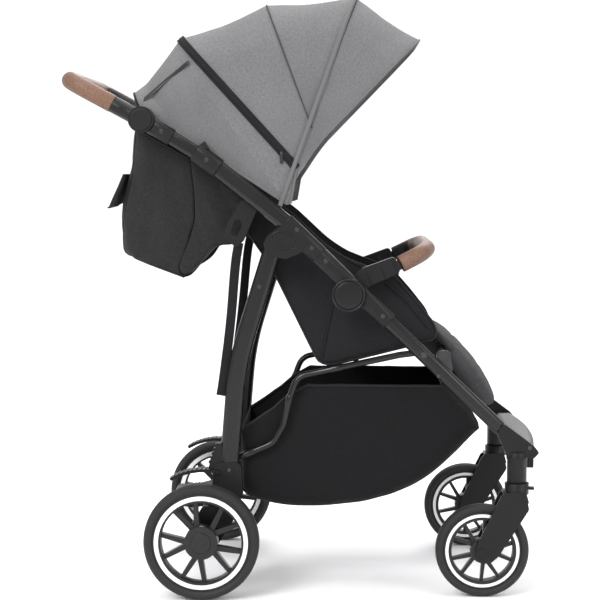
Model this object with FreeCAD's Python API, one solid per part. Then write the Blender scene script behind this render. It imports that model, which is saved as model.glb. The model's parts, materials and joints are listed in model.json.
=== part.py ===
import FreeCAD, Part
import math
import os

from FreeCAD import Vector

# Four-wheel folding pushchair, in millimetres: +X forward, +Y to the child's left, +Z up.
# The origin is on the floor, below the middle of the whole object.

# Wheels
REAR_RADIUS = 115.0
REAR_WIDTH = 42.0
REAR_AXLE = (-196.0, 115.0)
REAR_TRACK = 280.0
FRONT_RADIUS = 93.0
FRONT_WIDTH = 34.0
FRONT_AXLE = (361.0, 93.0)
FRONT_TRACK = 239.0
SPOKE_PAIRS = 5
RUNNING = 0.05  # radial clearance of every turning fit

# Fold linkage: rear leg to upper frame, knee hub, front leg to brace, brace to rear leg
PIVOT_A = (-54.0, 701.0)
PIVOT_K = (94.0, 602.0)
PIVOT_C = (243.0, 483.0)
PIVOT_B = (-146.0, 260.0)
SEAT_HINGE = (60.0, 458.0)
LEG_REST_HINGE = (282.0, 481.0)
HANDLE_HINGE = (-314.0, 947.0)
SWIVEL_X = 429.0

# Planes of the frame, measured from the middle plane
MAIN_Y = 238.0
REAR_LEG_Y = 202.0
BRACE_Y = 184.0
PANEL_Y = 170.0
SEAT_HALF = 150.0

# Tubes: in-plane height, width along Y
REAR_LEG_SECTION = (38.0, 20.0)
UPPER_SECTION = (29.0, 18.0)
LOWER_SECTION = (34.0, 22.0)
FRONT_LEG_SECTION = (28.0, 20.0)
WALL = 1.6

# The straight line that the bracket, the knee sleeves and the front legs lie on
LINE_START = (-32.0, 746.0)
LINE_END = (396.0, 336.0)
BRACKET_LENGTH = 94.0
KNEE_AT = 190.6
SLEEVE_END = 285.0
LEG_END = 592.0

KNEE_RADIUS = 33.4
HANDLE_HUB_RADIUS = 25.6
HOOD_PIVOT_BACK = 22.0
HOOD_Y = 221.5
FABRIC = 3.0

OUT = "parts"


def xz(point, y=0.0):
    return Vector(point[0], y, point[1])


def bent_path(points, radius, closed=False):
    """A wire of straight runs joined by tangent arcs."""
    count = len(points)
    arcs = {}
    for i in range(count) if closed else range(1, count - 1):
        here = points[i]
        back = points[i - 1] - here
        on = points[(i + 1) % count] - here
        half = back.getAngle(on) / 2
        if half > math.radians(89.9):
            continue
        reach = min(radius / math.tan(half), 0.48 * back.Length, 0.48 * on.Length)
        bend = reach * math.tan(half)
        back.normalize()
        on.normalize()
        inward = (back + on).normalize()
        middle = here + inward * (bend / math.sin(half) - bend)
        arcs[i] = (here + back * reach, middle, here + on * reach)
    edges = []
    last = len(points) if closed else len(points) - 1
    for i in range(last):
        start = arcs[i][2] if i in arcs else points[i]
        after = (i + 1) % count
        end = arcs[after][0] if after in arcs else points[after]
        edges.append(Part.LineSegment(start, end).toShape())
        if after in arcs:
            edges.append(Part.Arc(*arcs[after]).toShape())
    return Part.Wire(edges)


def plate(outline, y_low, y_high, radius=0.0):
    """A plate with an X-Z outline, its corners rounded, between two Y planes."""
    points = [xz(p, y_low) for p in outline]
    wire = bent_path(points, radius, True) if radius else Part.makePolygon(points + points[:1])
    return Part.Face(wire).extrude(Vector(0, y_high - y_low, 0))


def disc(centre, radius, y_low, y_high):
    return Part.makeCylinder(radius, y_high - y_low, xz(centre, y_low), Vector(0, 1, 0))


def ring(centre, outer, inner, y_low, y_high):
    return disc(centre, outer, y_low, y_high).cut(disc(centre, inner, y_low, y_high))


def stadium(centre, tangent, height, width):
    """An oval section square to the tangent, its flat sides facing +Y and -Y."""
    across = Vector(0, 1, 0)
    up = across.cross(tangent).normalize()
    nose = width / 2
    flat = height / 2 - nose
    top, bottom = centre + up * flat, centre - up * flat
    edges = [
        Part.LineSegment(bottom + across * nose, top + across * nose),
        Part.Arc(top + across * nose, top + up * nose, top - across * nose),
        Part.LineSegment(top - across * nose, bottom - across * nose),
        Part.Arc(bottom - across * nose, bottom - up * nose, bottom + across * nose),
    ]
    return Part.Wire([e.toShape() for e in edges])


def flat_sweep(outline, y, section, radius, grow=0.0):
    """An oval bar along an X-Z path in the plane at y."""
    points = [xz(p, y) for p in outline]
    height, width = section
    profile = stadium(points[0], points[1] - points[0], height + 2 * grow, width + 2 * grow)
    maker = Part.BRepOffsetAPI.MakePipeShell(bent_path(points, radius))
    maker.setBiNormalMode(Vector(0, 1, 0))
    maker.add(profile)
    maker.build()
    maker.makeSolid()
    return maker.shape()


def oval_tube(outline, y, section, radius):
    return flat_sweep(outline, y, section, radius).cut(flat_sweep(outline, y, section, radius, -WALL))


def rod(points, radius, bend):
    """A round bar along a path in space."""
    start = points[0]
    circle = Part.Wire(Part.Circle(start, points[1] - start, radius).toShape())
    return bent_path(points, bend).makePipeShell([circle], True, False)


def round_tube(points, radius, bend):
    return rod(points, radius, bend).cut(rod(points, radius - WALL, bend))


def mirrored(shape):
    return shape.mirror(Vector(0, 0, 0), Vector(0, 1, 0))


def both(shape):
    return [shape, mirrored(shape)]


def save(name, *shapes):
    """Writes one node: its solids, each a separate piece."""
    solids = [s for shape in shapes for s in shape.Solids]
    whole = solids[0] if len(solids) == 1 else Part.makeCompound(solids)
    whole.exportStep(os.path.join(OUT, name + ".step"))


def save_sides(name, shape):
    save(name + "_left", shape)
    save(name + "_right", mirrored(shape))


# The main line

LINE = (xz(LINE_END) - xz(LINE_START)).normalize()
LINE_NORMAL = Vector(-LINE.z, 0, LINE.x)


def on_line(along, offset=0.0):
    """The X-Z point at a distance along the main line and a height above it."""
    point = xz(LINE_START) + LINE * along + LINE_NORMAL * offset
    return (point.x, point.z)


HOOD_PIVOT = on_line(-HOOD_PIVOT_BACK)
UPPER_PATH = [(-290.0, 933.3), (-194.0, 873.6), LINE_START, on_line(50.0)]
CLAMP_AT = (-184.0, 866.5)
TUBE_BEND = 400.0


def sleeve(start, end, height, width, y=MAIN_Y):
    """A straight oval sleeve along the main line."""
    return flat_sweep([on_line(start), on_line(end)], y, (height, width), 1.0)


def rivet(point, y, radius=4.5, height=1.5):
    """A domed rivet or screw head on a face that looks towards +Y."""
    head = disc(point, radius, y, y + height)
    return head.makeFillet(height * 0.7, [e for e in head.Edges if e.BoundBox.YMin > y + height / 2])


# Rear frame

REAR_LEG_PATH = [PIVOT_A, (-129.0, 462.0), (-151.0, 190.0)]
REAR_LEG_BEND = 600.0
BEAM = (-165.0, 163.0)
BEAM_RADIUS = 14.0
A_PIN_RADIUS = 7.0
B_PIN_RADIUS = 5.0
AXLE_RADIUS = 6.0
LEG_INNER = REAR_LEG_Y - REAR_LEG_SECTION[1] / 2
LEG_OUTER = REAR_LEG_Y + REAR_LEG_SECTION[1] / 2
GUARD_SIDE = 220.0  # inside the folded front wheels


def rear_leg():
    leg = oval_tube(REAR_LEG_PATH, REAR_LEG_Y, REAR_LEG_SECTION, REAR_LEG_BEND)
    eye = disc(PIVOT_A, REAR_LEG_SECTION[0] / 2, LEG_INNER, LEG_OUTER)
    return leg.fuse(eye).cut(disc(PIVOT_A, A_PIN_RADIUS + RUNNING, LEG_INNER, LEG_OUTER)).removeSplitter()


def rear_housing():
    """The moulded foot of a rear leg: leg socket, beam socket, axle boss, guard and serrated catch."""
    inner = LEG_INNER - 3
    outline = [(-176, 262), (-121, 262), (-118, 196), (-133, 150), (-172, 92), (-196, 86),
               (-224, 100), (-226, 128), (-196, 176), (-180, 205)]
    body = plate(outline, inner, LEG_OUTER + 1.5, 14)
    low = [(-196, 178), (-133, 178), (-136, 148), (-172, 92), (-196, 88), (-222, 102), (-222, 128)]
    body = body.fuse(plate(low, inner, 240, 12))
    guard = [(REAR_AXLE[0] + r * math.cos(math.radians(a)), REAR_AXLE[1] + r * math.sin(math.radians(a)))
             for r, turns in ((134.0, range(76, 122, 9)), (128.0, range(121, 75, -9))) for a in turns]
    body = body.fuse(plate(guard, inner, GUARD_SIDE))
    for angle in range(80, 120, 4):
        radial = math.radians(angle)
        foot = (REAR_AXLE[0] + 133.5 * math.cos(radial), REAR_AXLE[1] + 133.5 * math.sin(radial))
        body = body.fuse(disc(foot, 1.6, inner, GUARD_SIDE))
    catch = [(-170, 300), (-160, 300), (-160, 240), (-186, 240), (-187, 252)]
    body = body.fuse(plate(catch, LEG_INNER + 2, LEG_OUTER - 2, 3))
    for step in range(5):
        tooth = (-184 + step * 3.2, 262 + step * 8.5)
        body = body.fuse(disc(tooth, 3, LEG_INNER + 2, LEG_OUTER - 2))
    body = body.cut(flat_sweep(REAR_LEG_PATH, REAR_LEG_Y, REAR_LEG_SECTION, REAR_LEG_BEND))
    body = body.cut(disc(PIVOT_B, 26, inner, LEG_INNER))
    return body.cut(disc(REAR_AXLE, AXLE_RADIUS, inner, 300))


def rear_pins():
    """Stub axle, brace pivot and the screws of one rear leg."""
    axle = disc(REAR_AXLE, AXLE_RADIUS, LEG_INNER - 3, REAR_TRACK + 12)
    axle = axle.fuse(disc(REAR_AXLE, 11, 240, 258))
    pivot = disc(PIVOT_B, B_PIN_RADIUS, 174, LEG_INNER).fuse(disc(PIVOT_B, 8, 172, 176))
    return [axle, pivot, rivet((-84, 616), LEG_OUTER), rivet((-145, 246), LEG_OUTER + 1.5, 4.0)]


def brake_pedal():
    """A pedal that turns on the axle beam, its tread ribbed."""
    half = 62.0
    arm = [(-160, 181), (-176, 184), (-222, 172), (-272, 168),
           (-279, 158), (-266, 146), (-232, 140), (-190, 146)]
    body = plate(arm, -half, half, 8)
    for step in range(7):
        body = body.fuse(disc((-228.0 - step * 7.0, 171.5 - step * 0.7), 2.0, -half + 4, half - 4))
    body = body.cut(disc(BEAM, BEAM_RADIUS + 6, -half, half))
    for y in (-half, -6.0, half - 14.0):
        body = body.fuse(disc(BEAM, BEAM_RADIUS + 6, y, y + 14))
    return body.cut(disc(BEAM, BEAM_RADIUS + RUNNING, -half, half)).removeSplitter()


# Wheels

# Tyre section: fractions of its height and of its half width
TYRE_PROFILE = ((0.0, 0.74), (0.12, 0.86), (0.38, 0.98), (0.62, 0.98), (0.82, 0.82), (0.93, 0.6), (0.985, 0.3))
# Radii of the trim ring's outer and inner edge and of the rim's inner edge
REAR_FACE = (93.0, 84.5, 80.0)
FRONT_FACE = (73.5, 67.5, 61.0)
REAR_HUB, FRONT_HUB = 33.0, 24.0
REAR_PHASE, FRONT_PHASE = 42.2, 69.0


def wheel_solids(axle, y, radius, width, face, hub, phase, bore, blind):
    """Tyre, rim with its spokes, and the trim rings. face is (trim outer, trim inner, rim inner) radii."""
    def turned(points):
        wire = Part.makePolygon([Vector(axle[0] + r, y + w, axle[1]) for r, w in points + points[:1]])
        return Part.Face(wire).revolve(xz(axle, y), Vector(0, 1, 0), 360)

    trim_outer, trim_inner, rim_inner = face
    seat = trim_outer + 3.5
    height = radius - seat
    half = width / 2
    side = []
    for r, w in TYRE_PROFILE:
        side.append((seat + height * r, half * w))
    tyre = turned(side + [(radius, 0.0)] + [(r, -w) for r, w in reversed(side)])
    for groove in (-0.22, 0.22):
        low = y + groove * width - 1.0
        tyre = tyre.cut(ring(axle, radius + 5, radius - 2.2, low, low + 2.0))
    rim_half = half * 0.72
    rim = ring(axle, seat - RUNNING, rim_inner, y - rim_half, y + rim_half)
    rim = rim.fuse(disc(axle, hub, y - rim_half - 3, y + rim_half + 3))
    for pair in range(SPOKE_PAIRS):
        middle = phase + pair * 360.0 / SPOKE_PAIRS
        for lean in (-1, 1):
            rim = rim.fuse(spoke(axle, y, middle, lean, hub, rim_inner, width))
    trim = [ring(axle, trim_outer, trim_inner, y + rim_half, y + rim_half + 1.5)]
    trim.append(ring(axle, trim_outer, trim_inner, y - rim_half - 1.5, y - rim_half))
    low = y - rim_half - 3
    high = y + (rim_half - 3 if blind else rim_half + 3)
    rim = rim.cut(disc(axle, bore + RUNNING, low, high)).removeSplitter()
    return tyre, rim, trim


def spoke(axle, y, middle, lean, hub, rim_inner, width):
    """One leg of a V-shaped pair, wider at the hub."""
    tip = math.radians(middle + lean * 16.4)
    root = math.radians(middle + lean * 7.0)
    outer, inner = rim_inner + 2, hub - 4
    end = Vector(axle[0] + outer * math.cos(tip), 0, axle[1] + outer * math.sin(tip))
    start = Vector(axle[0] + inner * math.cos(root), 0, axle[1] + inner * math.sin(root))
    side = (end - start).cross(Vector(0, 1, 0)).normalize()
    wide, narrow = hub * 0.17, hub * 0.125
    corners = [start + side * wide, end + side * narrow, end - side * narrow, start - side * wide]
    return plate([(c.x, c.z) for c in corners], y - width * 0.2, y + width * 0.2)


def build_rear_wheel():
    tyre, rim, trim = wheel_solids(REAR_AXLE, REAR_TRACK, REAR_RADIUS, REAR_WIDTH, REAR_FACE,
                                   REAR_HUB, REAR_PHASE, AXLE_RADIUS, True)
    top = REAR_TRACK + REAR_WIDTH / 2 * 0.72 + 3
    cap = disc(REAR_AXLE, 20, top - 1, top + 2.5)
    cap = cap.makeFillet(1.5, [e for e in cap.Edges if e.BoundBox.YMin > top + 2])
    return {"tyre": [tyre], "rim": [rim.fuse(cap)], "trim_ring": trim}


def build_front_wheel():
    tyre, rim, trim = wheel_solids(FRONT_AXLE, FRONT_TRACK, FRONT_RADIUS, FRONT_WIDTH, FRONT_FACE,
                                   FRONT_HUB, FRONT_PHASE, FRONT_BOLT_RADIUS, False)
    return {"tyre": [tyre], "rim": [rim], "trim_ring": trim}


def save_wheel(name, pieces):
    for piece, solids in pieces.items():
        save(name + "_left_" + piece, *solids)
        save(name + "_right_" + piece, *[mirrored(s) for s in solids])


# Upper frame


def upper_core(grow=0.0):
    start = xz(CLAMP_AT) + (xz(LINE_START) - xz(CLAMP_AT)).normalize() * -2.0 * grow
    lower = flat_sweep([(start.x, start.z)] + UPPER_PATH[2:], MAIN_Y, LOWER_SECTION, TUBE_BEND, grow)
    upper = flat_sweep(UPPER_PATH[:2] + [CLAMP_AT], MAIN_Y, UPPER_SECTION, TUBE_BEND, grow)
    return upper.fuse(lower)


def upper_tube():
    return upper_core().cut(upper_core(-WALL)).removeSplitter()


def frame_bracket():
    """Sleeve on the upper tube with the leaf-shaped plate that carries the rear leg's pivot."""
    low, high = MAIN_Y - 14.0, MAIN_Y + 15.0
    leaf = [(-75, 700), (-66, 719), (-48, 733), (-22, 748), (16, 712), (2, 686), (-30, 673), (-60, 679)]
    body = plate(leaf, LEG_OUTER + 2, high, 12).fuse(sleeve(0, BRACKET_LENGTH, 38, 28))
    body = body.cut(upper_core())
    centre = Vector(-32.5, high, 710)
    turn = math.radians(-20)
    along = Vector(math.cos(turn), 0, math.sin(turn))
    across = Vector(-along.z, 0, along.x)
    rims = []
    for major, minor in ((28.0, 17.0), (25.5, 14.5)):
        ellipse = Part.Ellipse(centre + along * major, centre + across * minor, centre).toShape()
        rims.append(Part.Face(Part.Wire(ellipse)).extrude(Vector(0, 1.2, 0)))
    body = body.fuse(rims[0].cut(rims[1]))
    pin = disc(PIVOT_A, A_PIN_RADIUS, LEG_INNER - 3, LEG_OUTER + 2.5)
    washer = disc(PIVOT_A, 12, LEG_INNER - 3.5, LEG_INNER - 0.3)
    return body.fuse(pin).fuse(washer).removeSplitter()


def knee_disc(y_low, y_high, radius=KNEE_RADIUS):
    return disc(PIVOT_K, radius, y_low, y_high)


KNEE_SPLIT = MAIN_Y + 2.0
KNEE_FACE = MAIN_Y + 19.0
KNEE_BACK = MAIN_Y - 20.0
K_PIN_RADIUS = 8.0


def knee_upper():
    """The outer half of the knee hub, with its sleeve, pin and round cover."""
    arm = sleeve(BRACKET_LENGTH + 0.4, KNEE_AT - 6, 36, 26)
    arm = arm.cut(knee_disc(200, KNEE_SPLIT, KNEE_RADIUS + 1))
    hub = knee_disc(KNEE_SPLIT, KNEE_FACE).cut(knee_disc(KNEE_FACE - 2, KNEE_FACE, 28.6))
    cover = knee_disc(KNEE_FACE - 2, KNEE_FACE + 0.5, 27.6)
    cover = cover.makeFillet(1.6, [e for e in cover.Edges if e.BoundBox.YMin > KNEE_FACE])
    pin = knee_disc(196, KNEE_SPLIT, K_PIN_RADIUS).fuse(knee_disc(192.5, 196, 12))
    return arm.fuse(hub).fuse(cover).fuse(pin).cut(upper_core()).removeSplitter()


def knee_lower():
    """The inner half of the knee hub, with the sleeve that holds the front leg."""
    arm = sleeve(KNEE_AT + 8, SLEEVE_END, 36, 26)
    arm = arm.cut(knee_disc(KNEE_SPLIT - 0.2, 300, KNEE_RADIUS + 1))
    body = arm.fuse(knee_disc(KNEE_BACK, KNEE_SPLIT - 0.2)).cut(front_leg_core())
    return body.cut(knee_disc(KNEE_BACK - 1, KNEE_SPLIT, K_PIN_RADIUS + RUNNING)).removeSplitter()


def tube_fitting():
    """The fixed half of the handle joint with its sleeve, and the hood's clamp lower down the tube."""
    joint = flat_sweep([HANDLE_HINGE, (-255.0, 911.5)], MAIN_Y - 1, (34, 26), 1)
    joint = joint.fuse(disc(HANDLE_HINGE, HANDLE_HUB_RADIUS, 224, HANDLE_SPLIT))
    joint = joint.cut(disc(HANDLE_HINGE, HANDLE_HUB_RADIUS + 1, HANDLE_SPLIT, 300)).cut(upper_core())
    joint = joint.fuse(disc(HANDLE_HINGE, H_PIN_RADIUS, 224, HANDLE_FLOOR - 0.5))
    clamp = flat_sweep([(-208.0, 883.0), (-163.0, 850.8)], MAIN_Y, (40, 29), 1)
    hook = plate([(-202, 895), (-189, 905), (-180, 888)], MAIN_Y - 9, MAIN_Y + 9)
    return [joint.removeSplitter(), clamp.fuse(hook).cut(upper_core()).removeSplitter()]


def recline_guide():
    """The slotted plate that the recline strap runs through."""
    outline = [(-118, 790), (-87, 770), (-114, 708), (-128, 694), (-156, 716), (-147, 741)]
    low, high = 216.0, MAIN_Y - LOWER_SECTION[1] / 2 - 0.5
    body = plate(outline, low, high, 6)
    slot = [(-141, 722), (-128, 716), (-117, 738), (-120, 752), (-132, 748)]
    body = body.cut(plate(slot, low, high, 5))
    for dot in ((-130, 766), (-106, 750)):
        body = body.cut(disc(dot, 2.2, high - 2, high))
    return body


def upper_screws():
    low_face = MAIN_Y + LOWER_SECTION[1] / 2
    places = [((-274, 923.5), 12), ((-185, 868), 14.5), (on_line(28, 6), 15),
              (on_line(74), 15), (on_line(112), 13)]
    heads = [rivet(place, MAIN_Y + out) for place, out in places]
    stud = disc(HOOD_PIVOT, HOOD_PIN_RADIUS, HOOD_BOW_Y[0] - 5, low_face - LOWER_SECTION[1])
    stud = stud.fuse(disc(HOOD_PIVOT, 10, HOOD_BOW_Y[2] + 4, low_face - LOWER_SECTION[1]))
    return heads + [stud.fuse(disc(HOOD_PIVOT, 6, HOOD_BOW_Y[0] - 7, HOOD_BOW_Y[0] - 4))]


# Handlebar

HANDLE_SPLIT = MAIN_Y
HANDLE_FLOOR = MAIN_Y + 5.5
H_PIN_RADIUS = 6.0
HANDLE_Y = 236.0
HANDLE_END = (-460.5, 1026.0)
GRIP_RADIUS = 17.5
HANDLE_TUBE_RADIUS = 12.0
HANDLE_BEND = 62.0
BUTTON_RADIUS = 21.6


def handle_points(start):
    """The handle's centre line, from a distance up one arm to the same place on the other."""
    hinge, corner = xz(HANDLE_HINGE, HANDLE_Y), xz(HANDLE_END, HANDLE_Y)
    first = hinge + (corner - hinge).normalize() * start
    half = [first, corner]
    return half + [Vector(p.x, -p.y, p.z) for p in reversed(half)]


def handle_joint():
    """The turning half of the handle's joint, its button pocket and the arm's sleeve."""
    arm = handle_points(18)[:2]
    end = handle_points(64.5)[0]
    sleeve_bar = rod([arm[0], end], 16.6, 1)
    sleeve_bar = sleeve_bar.cut(disc(HANDLE_HINGE, HANDLE_HUB_RADIUS + 1, 200, HANDLE_SPLIT + 0.2))
    hub = disc(HANDLE_HINGE, HANDLE_HUB_RADIUS, HANDLE_SPLIT + 0.2, 253)
    body = hub.fuse(sleeve_bar).cut(disc(HANDLE_HINGE, BUTTON_RADIUS + 0.1, HANDLE_FLOOR, 260))
    body = body.cut(disc(HANDLE_HINGE, H_PIN_RADIUS + RUNNING, HANDLE_SPLIT, HANDLE_FLOOR))
    body = body.cut(rod(handle_points(30), HANDLE_TUBE_RADIUS, HANDLE_BEND))
    return body.fuse(rivet((-355, 969), 251.5, 4.0)).removeSplitter()


def handle_button():
    button = disc(HANDLE_HINGE, BUTTON_RADIUS, HANDLE_FLOOR + 3.5, 256)
    return button.makeFillet(2.5, [e for e in button.Edges if e.BoundBox.YMin > 255])


# Hood

HOOD_BOW_Y = (202.0, 209.0, 216.0)
HOOD_PIN_RADIUS = 3.0
BOW_RADIUS = 3.0
HOOD_TOPS = ((-245.0, 1111.0), (-72.0, 1178.0), (108.0, 1194.0))
HOOD_KINKS = ((-13.0, 852.0), (15.0, 925.0), (20.0, 950.0))
HOOD_CORNER = 92.0
HOOD_HEM_HALF = 214.5


def hood_bow(index):
    """One bow: from its eye up the side, across the top and down again."""
    y = HOOD_BOW_Y[index]
    top, kink = xz(HOOD_TOPS[index], y), xz(HOOD_KINKS[index], y)
    corner = top - (top - kink).normalize() * 9
    side = [xz(HOOD_PIVOT, y), kink, corner]
    bow = rod(side + [Vector(p.x, -p.y, p.z) for p in reversed(side)], BOW_RADIUS, HOOD_CORNER)
    for shape in both(disc(HOOD_PIVOT, 8, y - BOW_RADIUS, y + BOW_RADIUS)):
        bow = bow.fuse(shape)
    for shape in both(disc(HOOD_PIVOT, HOOD_PIN_RADIUS + RUNNING, y - 4, y + 4)):
        bow = bow.cut(shape)
    return bow.removeSplitter()


def arch(base, top, half, corner):
    """The points of a rounded arch that stands on its two base points."""
    radius = min(corner, 0.8 * (xz(top) - xz(base)).Length)
    points = [xz(base, half), xz(top, half), xz(top, -half), xz(base, -half)]
    return bent_path(points, radius)


def canopy():
    """The hood's fabric: a thin shell over the bows, open below and in front."""
    sections = (((-322.0, 970.0), (-333.0, 1000.0), HOOD_HEM_HALF),
                ((-100.0, 812.0), (-248.0, 1112.0), HOOD_Y),
                ((-76.0, 790.0), (-73.0, 1180.0), HOOD_Y),
                ((-44.0, 778.0), (110.0, 1197.0), HOOD_Y),
                ((33.0, 899.0), (236.0, 1109.0), HOOD_Y))
    profiles = []
    for base, top, half in sections:
        down = (xz(base) - xz(top)).normalize() * FABRIC
        inner_top = (top[0] + down.x, top[1] + down.z)
        outer = arch(base, top, half + FABRIC / 2, HOOD_CORNER)
        inner = arch(base, inner_top, half - FABRIC / 2 + 0.8, HOOD_CORNER - FABRIC)
        feet = [Part.LineSegment(a.Point, b.Point).toShape()
                for a, b in ((outer.OrderedVertexes[-1], inner.OrderedVertexes[-1]),
                             (inner.OrderedVertexes[0], outer.OrderedVertexes[0]))]
        edges = outer.OrderedEdges + feet[:1] + list(reversed(inner.OrderedEdges)) + feet[1:]
        profiles.append(Part.Wire(edges))
    return Part.makeLoft(profiles, True, True)


# Bumper bar

BUMPER_Y = (197.0, 217.0)
BUMPER_ARM_END = (198.0, 661.0)
BUMPER_FRONT = (253.0, 689.0)
BUMPER_RADIUS = 17.0


def bumper_arm():
    """One arm, from its disc on the knee pin to the padded bar."""
    outline = [(80, 616), (121, 653), (186, 677), (198, 645), (137, 618), (112, 586)]
    body = plate(outline, BUMPER_Y[0], BUMPER_Y[1], 8).fuse(knee_disc(BUMPER_Y[0], BUMPER_Y[1], 25))
    tip = xz(BUMPER_ARM_END, sum(BUMPER_Y) / 2)
    back = (xz(BUMPER_ARM_END) - xz(PIVOT_K)).normalize() * 16
    body = body.fuse(rod([tip - back, tip], 10, 1))
    pocket = knee_disc(BUMPER_Y[0] - 1, BUMPER_Y[1] + 1, K_PIN_RADIUS + RUNNING)
    button_hole = disc(BUMPER_BUTTON_AT, 9.2, BUMPER_Y[0], BUMPER_Y[0] + 5)
    return body.cut(pocket).cut(button_hole).removeSplitter()


BUMPER_BUTTON_AT = (158.0, 647.0)


def bumper_button():
    button = disc(BUMPER_BUTTON_AT, 9.1, BUMPER_Y[0] - 2, BUMPER_Y[0] + 2.5)
    return button.makeFillet(1.2, [e for e in button.Edges if e.BoundBox.YMax < BUMPER_Y[0] - 1])


def bumper_bar():
    y = sum(BUMPER_Y) / 2
    half = [xz(BUMPER_ARM_END, y), xz((238.0, 681.0), y - 8), xz(BUMPER_FRONT, 140.0)]
    points = half + [Vector(p.x, -p.y, p.z) for p in reversed(half)]
    return rod(points, BUMPER_RADIUS, 140.0)


# Seat

BACK_ANGLE = math.radians(120.0)
BACK = Vector(math.cos(BACK_ANGLE), 0, math.sin(BACK_ANGLE))
BACK_FRONT = Vector(math.sin(BACK_ANGLE), 0, -math.cos(BACK_ANGLE))
BACK_LENGTH = 450.0
BASE_START = Vector(63.0, 0, 458.0)
BASE = (Vector(278.0, 0, 515.0) - BASE_START).normalize()
BASE_UP = Vector(-BASE.z, 0, BASE.x)
BASE_LENGTH = 212.0
SEAT_ROD_RADIUS = 4.0
RECLINE_ARM = 130.0


def slab(start, along, up, span, rise, half, corner):
    """A board with rounded corners, given along and up directions and their ranges."""
    origin = start + up * rise[0]
    corners = []
    for distance, y in ((span[0], half), (span[1], half), (span[1], -half), (span[0], -half)):
        point = origin + along * distance
        corners.append(Vector(point.x, y, point.z))
    return Part.Face(bent_path(corners, corner, True)).extrude(up * (rise[1] - rise[0]))


def seat_back_board():
    board = slab(xz(SEAT_HINGE), BACK, BACK_FRONT, (16, BACK_LENGTH), (0, 5), SEAT_HALF, 30)
    for y in (-140.0, -15.0, 110.0):
        knuckle = disc(SEAT_HINGE, 8, y, y + 30)
        root, tip = xz(SEAT_HINGE, y), xz(SEAT_HINGE, y) + BACK * 30
        web = Part.makePolygon([root, root + BACK_FRONT * 5, tip + BACK_FRONT * 5, tip, root])
        board = board.fuse(knuckle).fuse(Part.Face(web).extrude(Vector(0, 30, 0)))
    return board.cut(disc(SEAT_HINGE, SEAT_ROD_RADIUS + RUNNING, -200, 200)).removeSplitter()


def recline_rod():
    """The hinge rod between seat base and seat back, with a flat arm up each side of the back."""
    rod_bar = disc(SEAT_HINGE, SEAT_ROD_RADIUS, -163, 163)
    foot, tip = xz(SEAT_HINGE) - BACK * 4, xz(SEAT_HINGE) + BACK * RECLINE_ARM
    near, far = BACK_FRONT * -4, BACK_FRONT * 26
    arm = plate([(p.x, p.z) for p in (foot + near, tip + near, tip + far, foot + far)], 152.5, 157.5, 9)
    for shape in both(disc(SEAT_HINGE, 11, 157, 164).fuse(arm)):
        rod_bar = rod_bar.fuse(shape)
    return rod_bar.removeSplitter()


def seat_base_board():
    board = slab(BASE_START, BASE, BASE_UP, (22, 196), (4, 9), SEAT_HALF, 20)
    side = [(165, 6), (192, 6), (212, -16), (229, -27), (227, -42), (206, -46), (190, -24)]
    points = [BASE_START + BASE * along + BASE_UP * up for along, up in side]
    for y in (-120.0, 100.0):
        board = board.fuse(plate([(p.x, p.z) for p in points], y, y + 20))
    return board.cut(disc(LEG_REST_HINGE, CROSS_TUBE_RADIUS, -200, 200))


def seat_side_panel():
    outline = [(66, 461), (274, 516), (266, 540), (228, 588), (187, 634), (127, 655), (87, 671),
               (47, 698), (-19, 760), (-120, 835), (-186, 884), (-206, 862), (-66, 668)]
    return plate(outline, PANEL_Y - FABRIC / 2, PANEL_Y + FABRIC / 2, 12)


def harness_buckle():
    start = BASE_START + BASE * 78 + BASE_UP * 40
    body = slab(start, BASE, BASE_UP, (0, 52), (0, 15), 24, 9)
    hole = Part.makeCylinder(11.2, 4, start + BASE * 26 + BASE_UP * 11.5, BASE_UP)
    return body.cut(hole)


def buckle_button():
    start = BASE_START + BASE * 104 + BASE_UP * 54
    button = Part.makeCylinder(11, 4.5, start, BASE_UP)
    top = start + BASE_UP * 4.5
    rims = [e for e in button.Edges if e.Closed and (e.CenterOfMass - top).Length < 0.1]
    return button.makeFillet(1, rims)


def open_tub(outline, opened, half):
    """A thin-walled bag with the given side outline; opened is the outline of the space inside."""
    return plate(outline, -half, half, 10).cut(plate(opened, -half + FABRIC, half - FABRIC, 8))


def rear_pocket():
    outline = [(-345, 936), (-225, 868), (-225, 790), (-240, 720), (-250, 664), (-246, 636),
               (-352, 675), (-370, 690), (-368, 788), (-356, 828), (-349, 868)]
    opened = [(-342, 990), (-150, 900), (-150, 600), (-248, 640.5), (-352, 679), (-366.5, 692),
              (-364.5, 788), (-352.5, 828), (-345.5, 868)]
    return open_tub(outline, opened, 189)


def basket():
    outline = [(10, 416), (286, 412), (336, 368), (358, 322), (299, 271), (239, 220), (159, 187),
               (78, 174), (-23, 168), (-80, 177), (-122, 194), (-122, 322), (-80, 345), (-33, 376)]
    opened = [(10, 460), (279, 460), (282, 411), (333, 366), (354, 323), (296, 274), (238, 223.5),
              (158, 190.5), (78, 177.5), (-23, 171.5), (-79, 180.5), (-118.5, 196), (-118.5, 360), (-80, 400)]
    return open_tub(outline, opened, 174)


# Leg rest

CROSS_TUBE_RADIUS = 8.0


def leg_rest():
    outline = [(296, 506), (324, 491), (366, 445), (401, 385), (405, 370), (395, 358),
               (374, 362), (338, 398), (312, 438), (300, 464), (290, 486)]
    body = plate(outline, -SEAT_HALF, SEAT_HALF, 6)
    body = body.cut(disc(LEG_REST_HINGE, 15, -SEAT_HALF, SEAT_HALF))
    for y in (-95.0, 45.0):
        body = body.fuse(disc(LEG_REST_HINGE, 12, y, y + 50))
        body = body.fuse(plate([(286, 492), (300, 500), (306, 462), (288, 470)], y, y + 50))
    return body.cut(disc(LEG_REST_HINGE, CROSS_TUBE_RADIUS + RUNNING, -200, 200)).removeSplitter()


# Front frame

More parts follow.
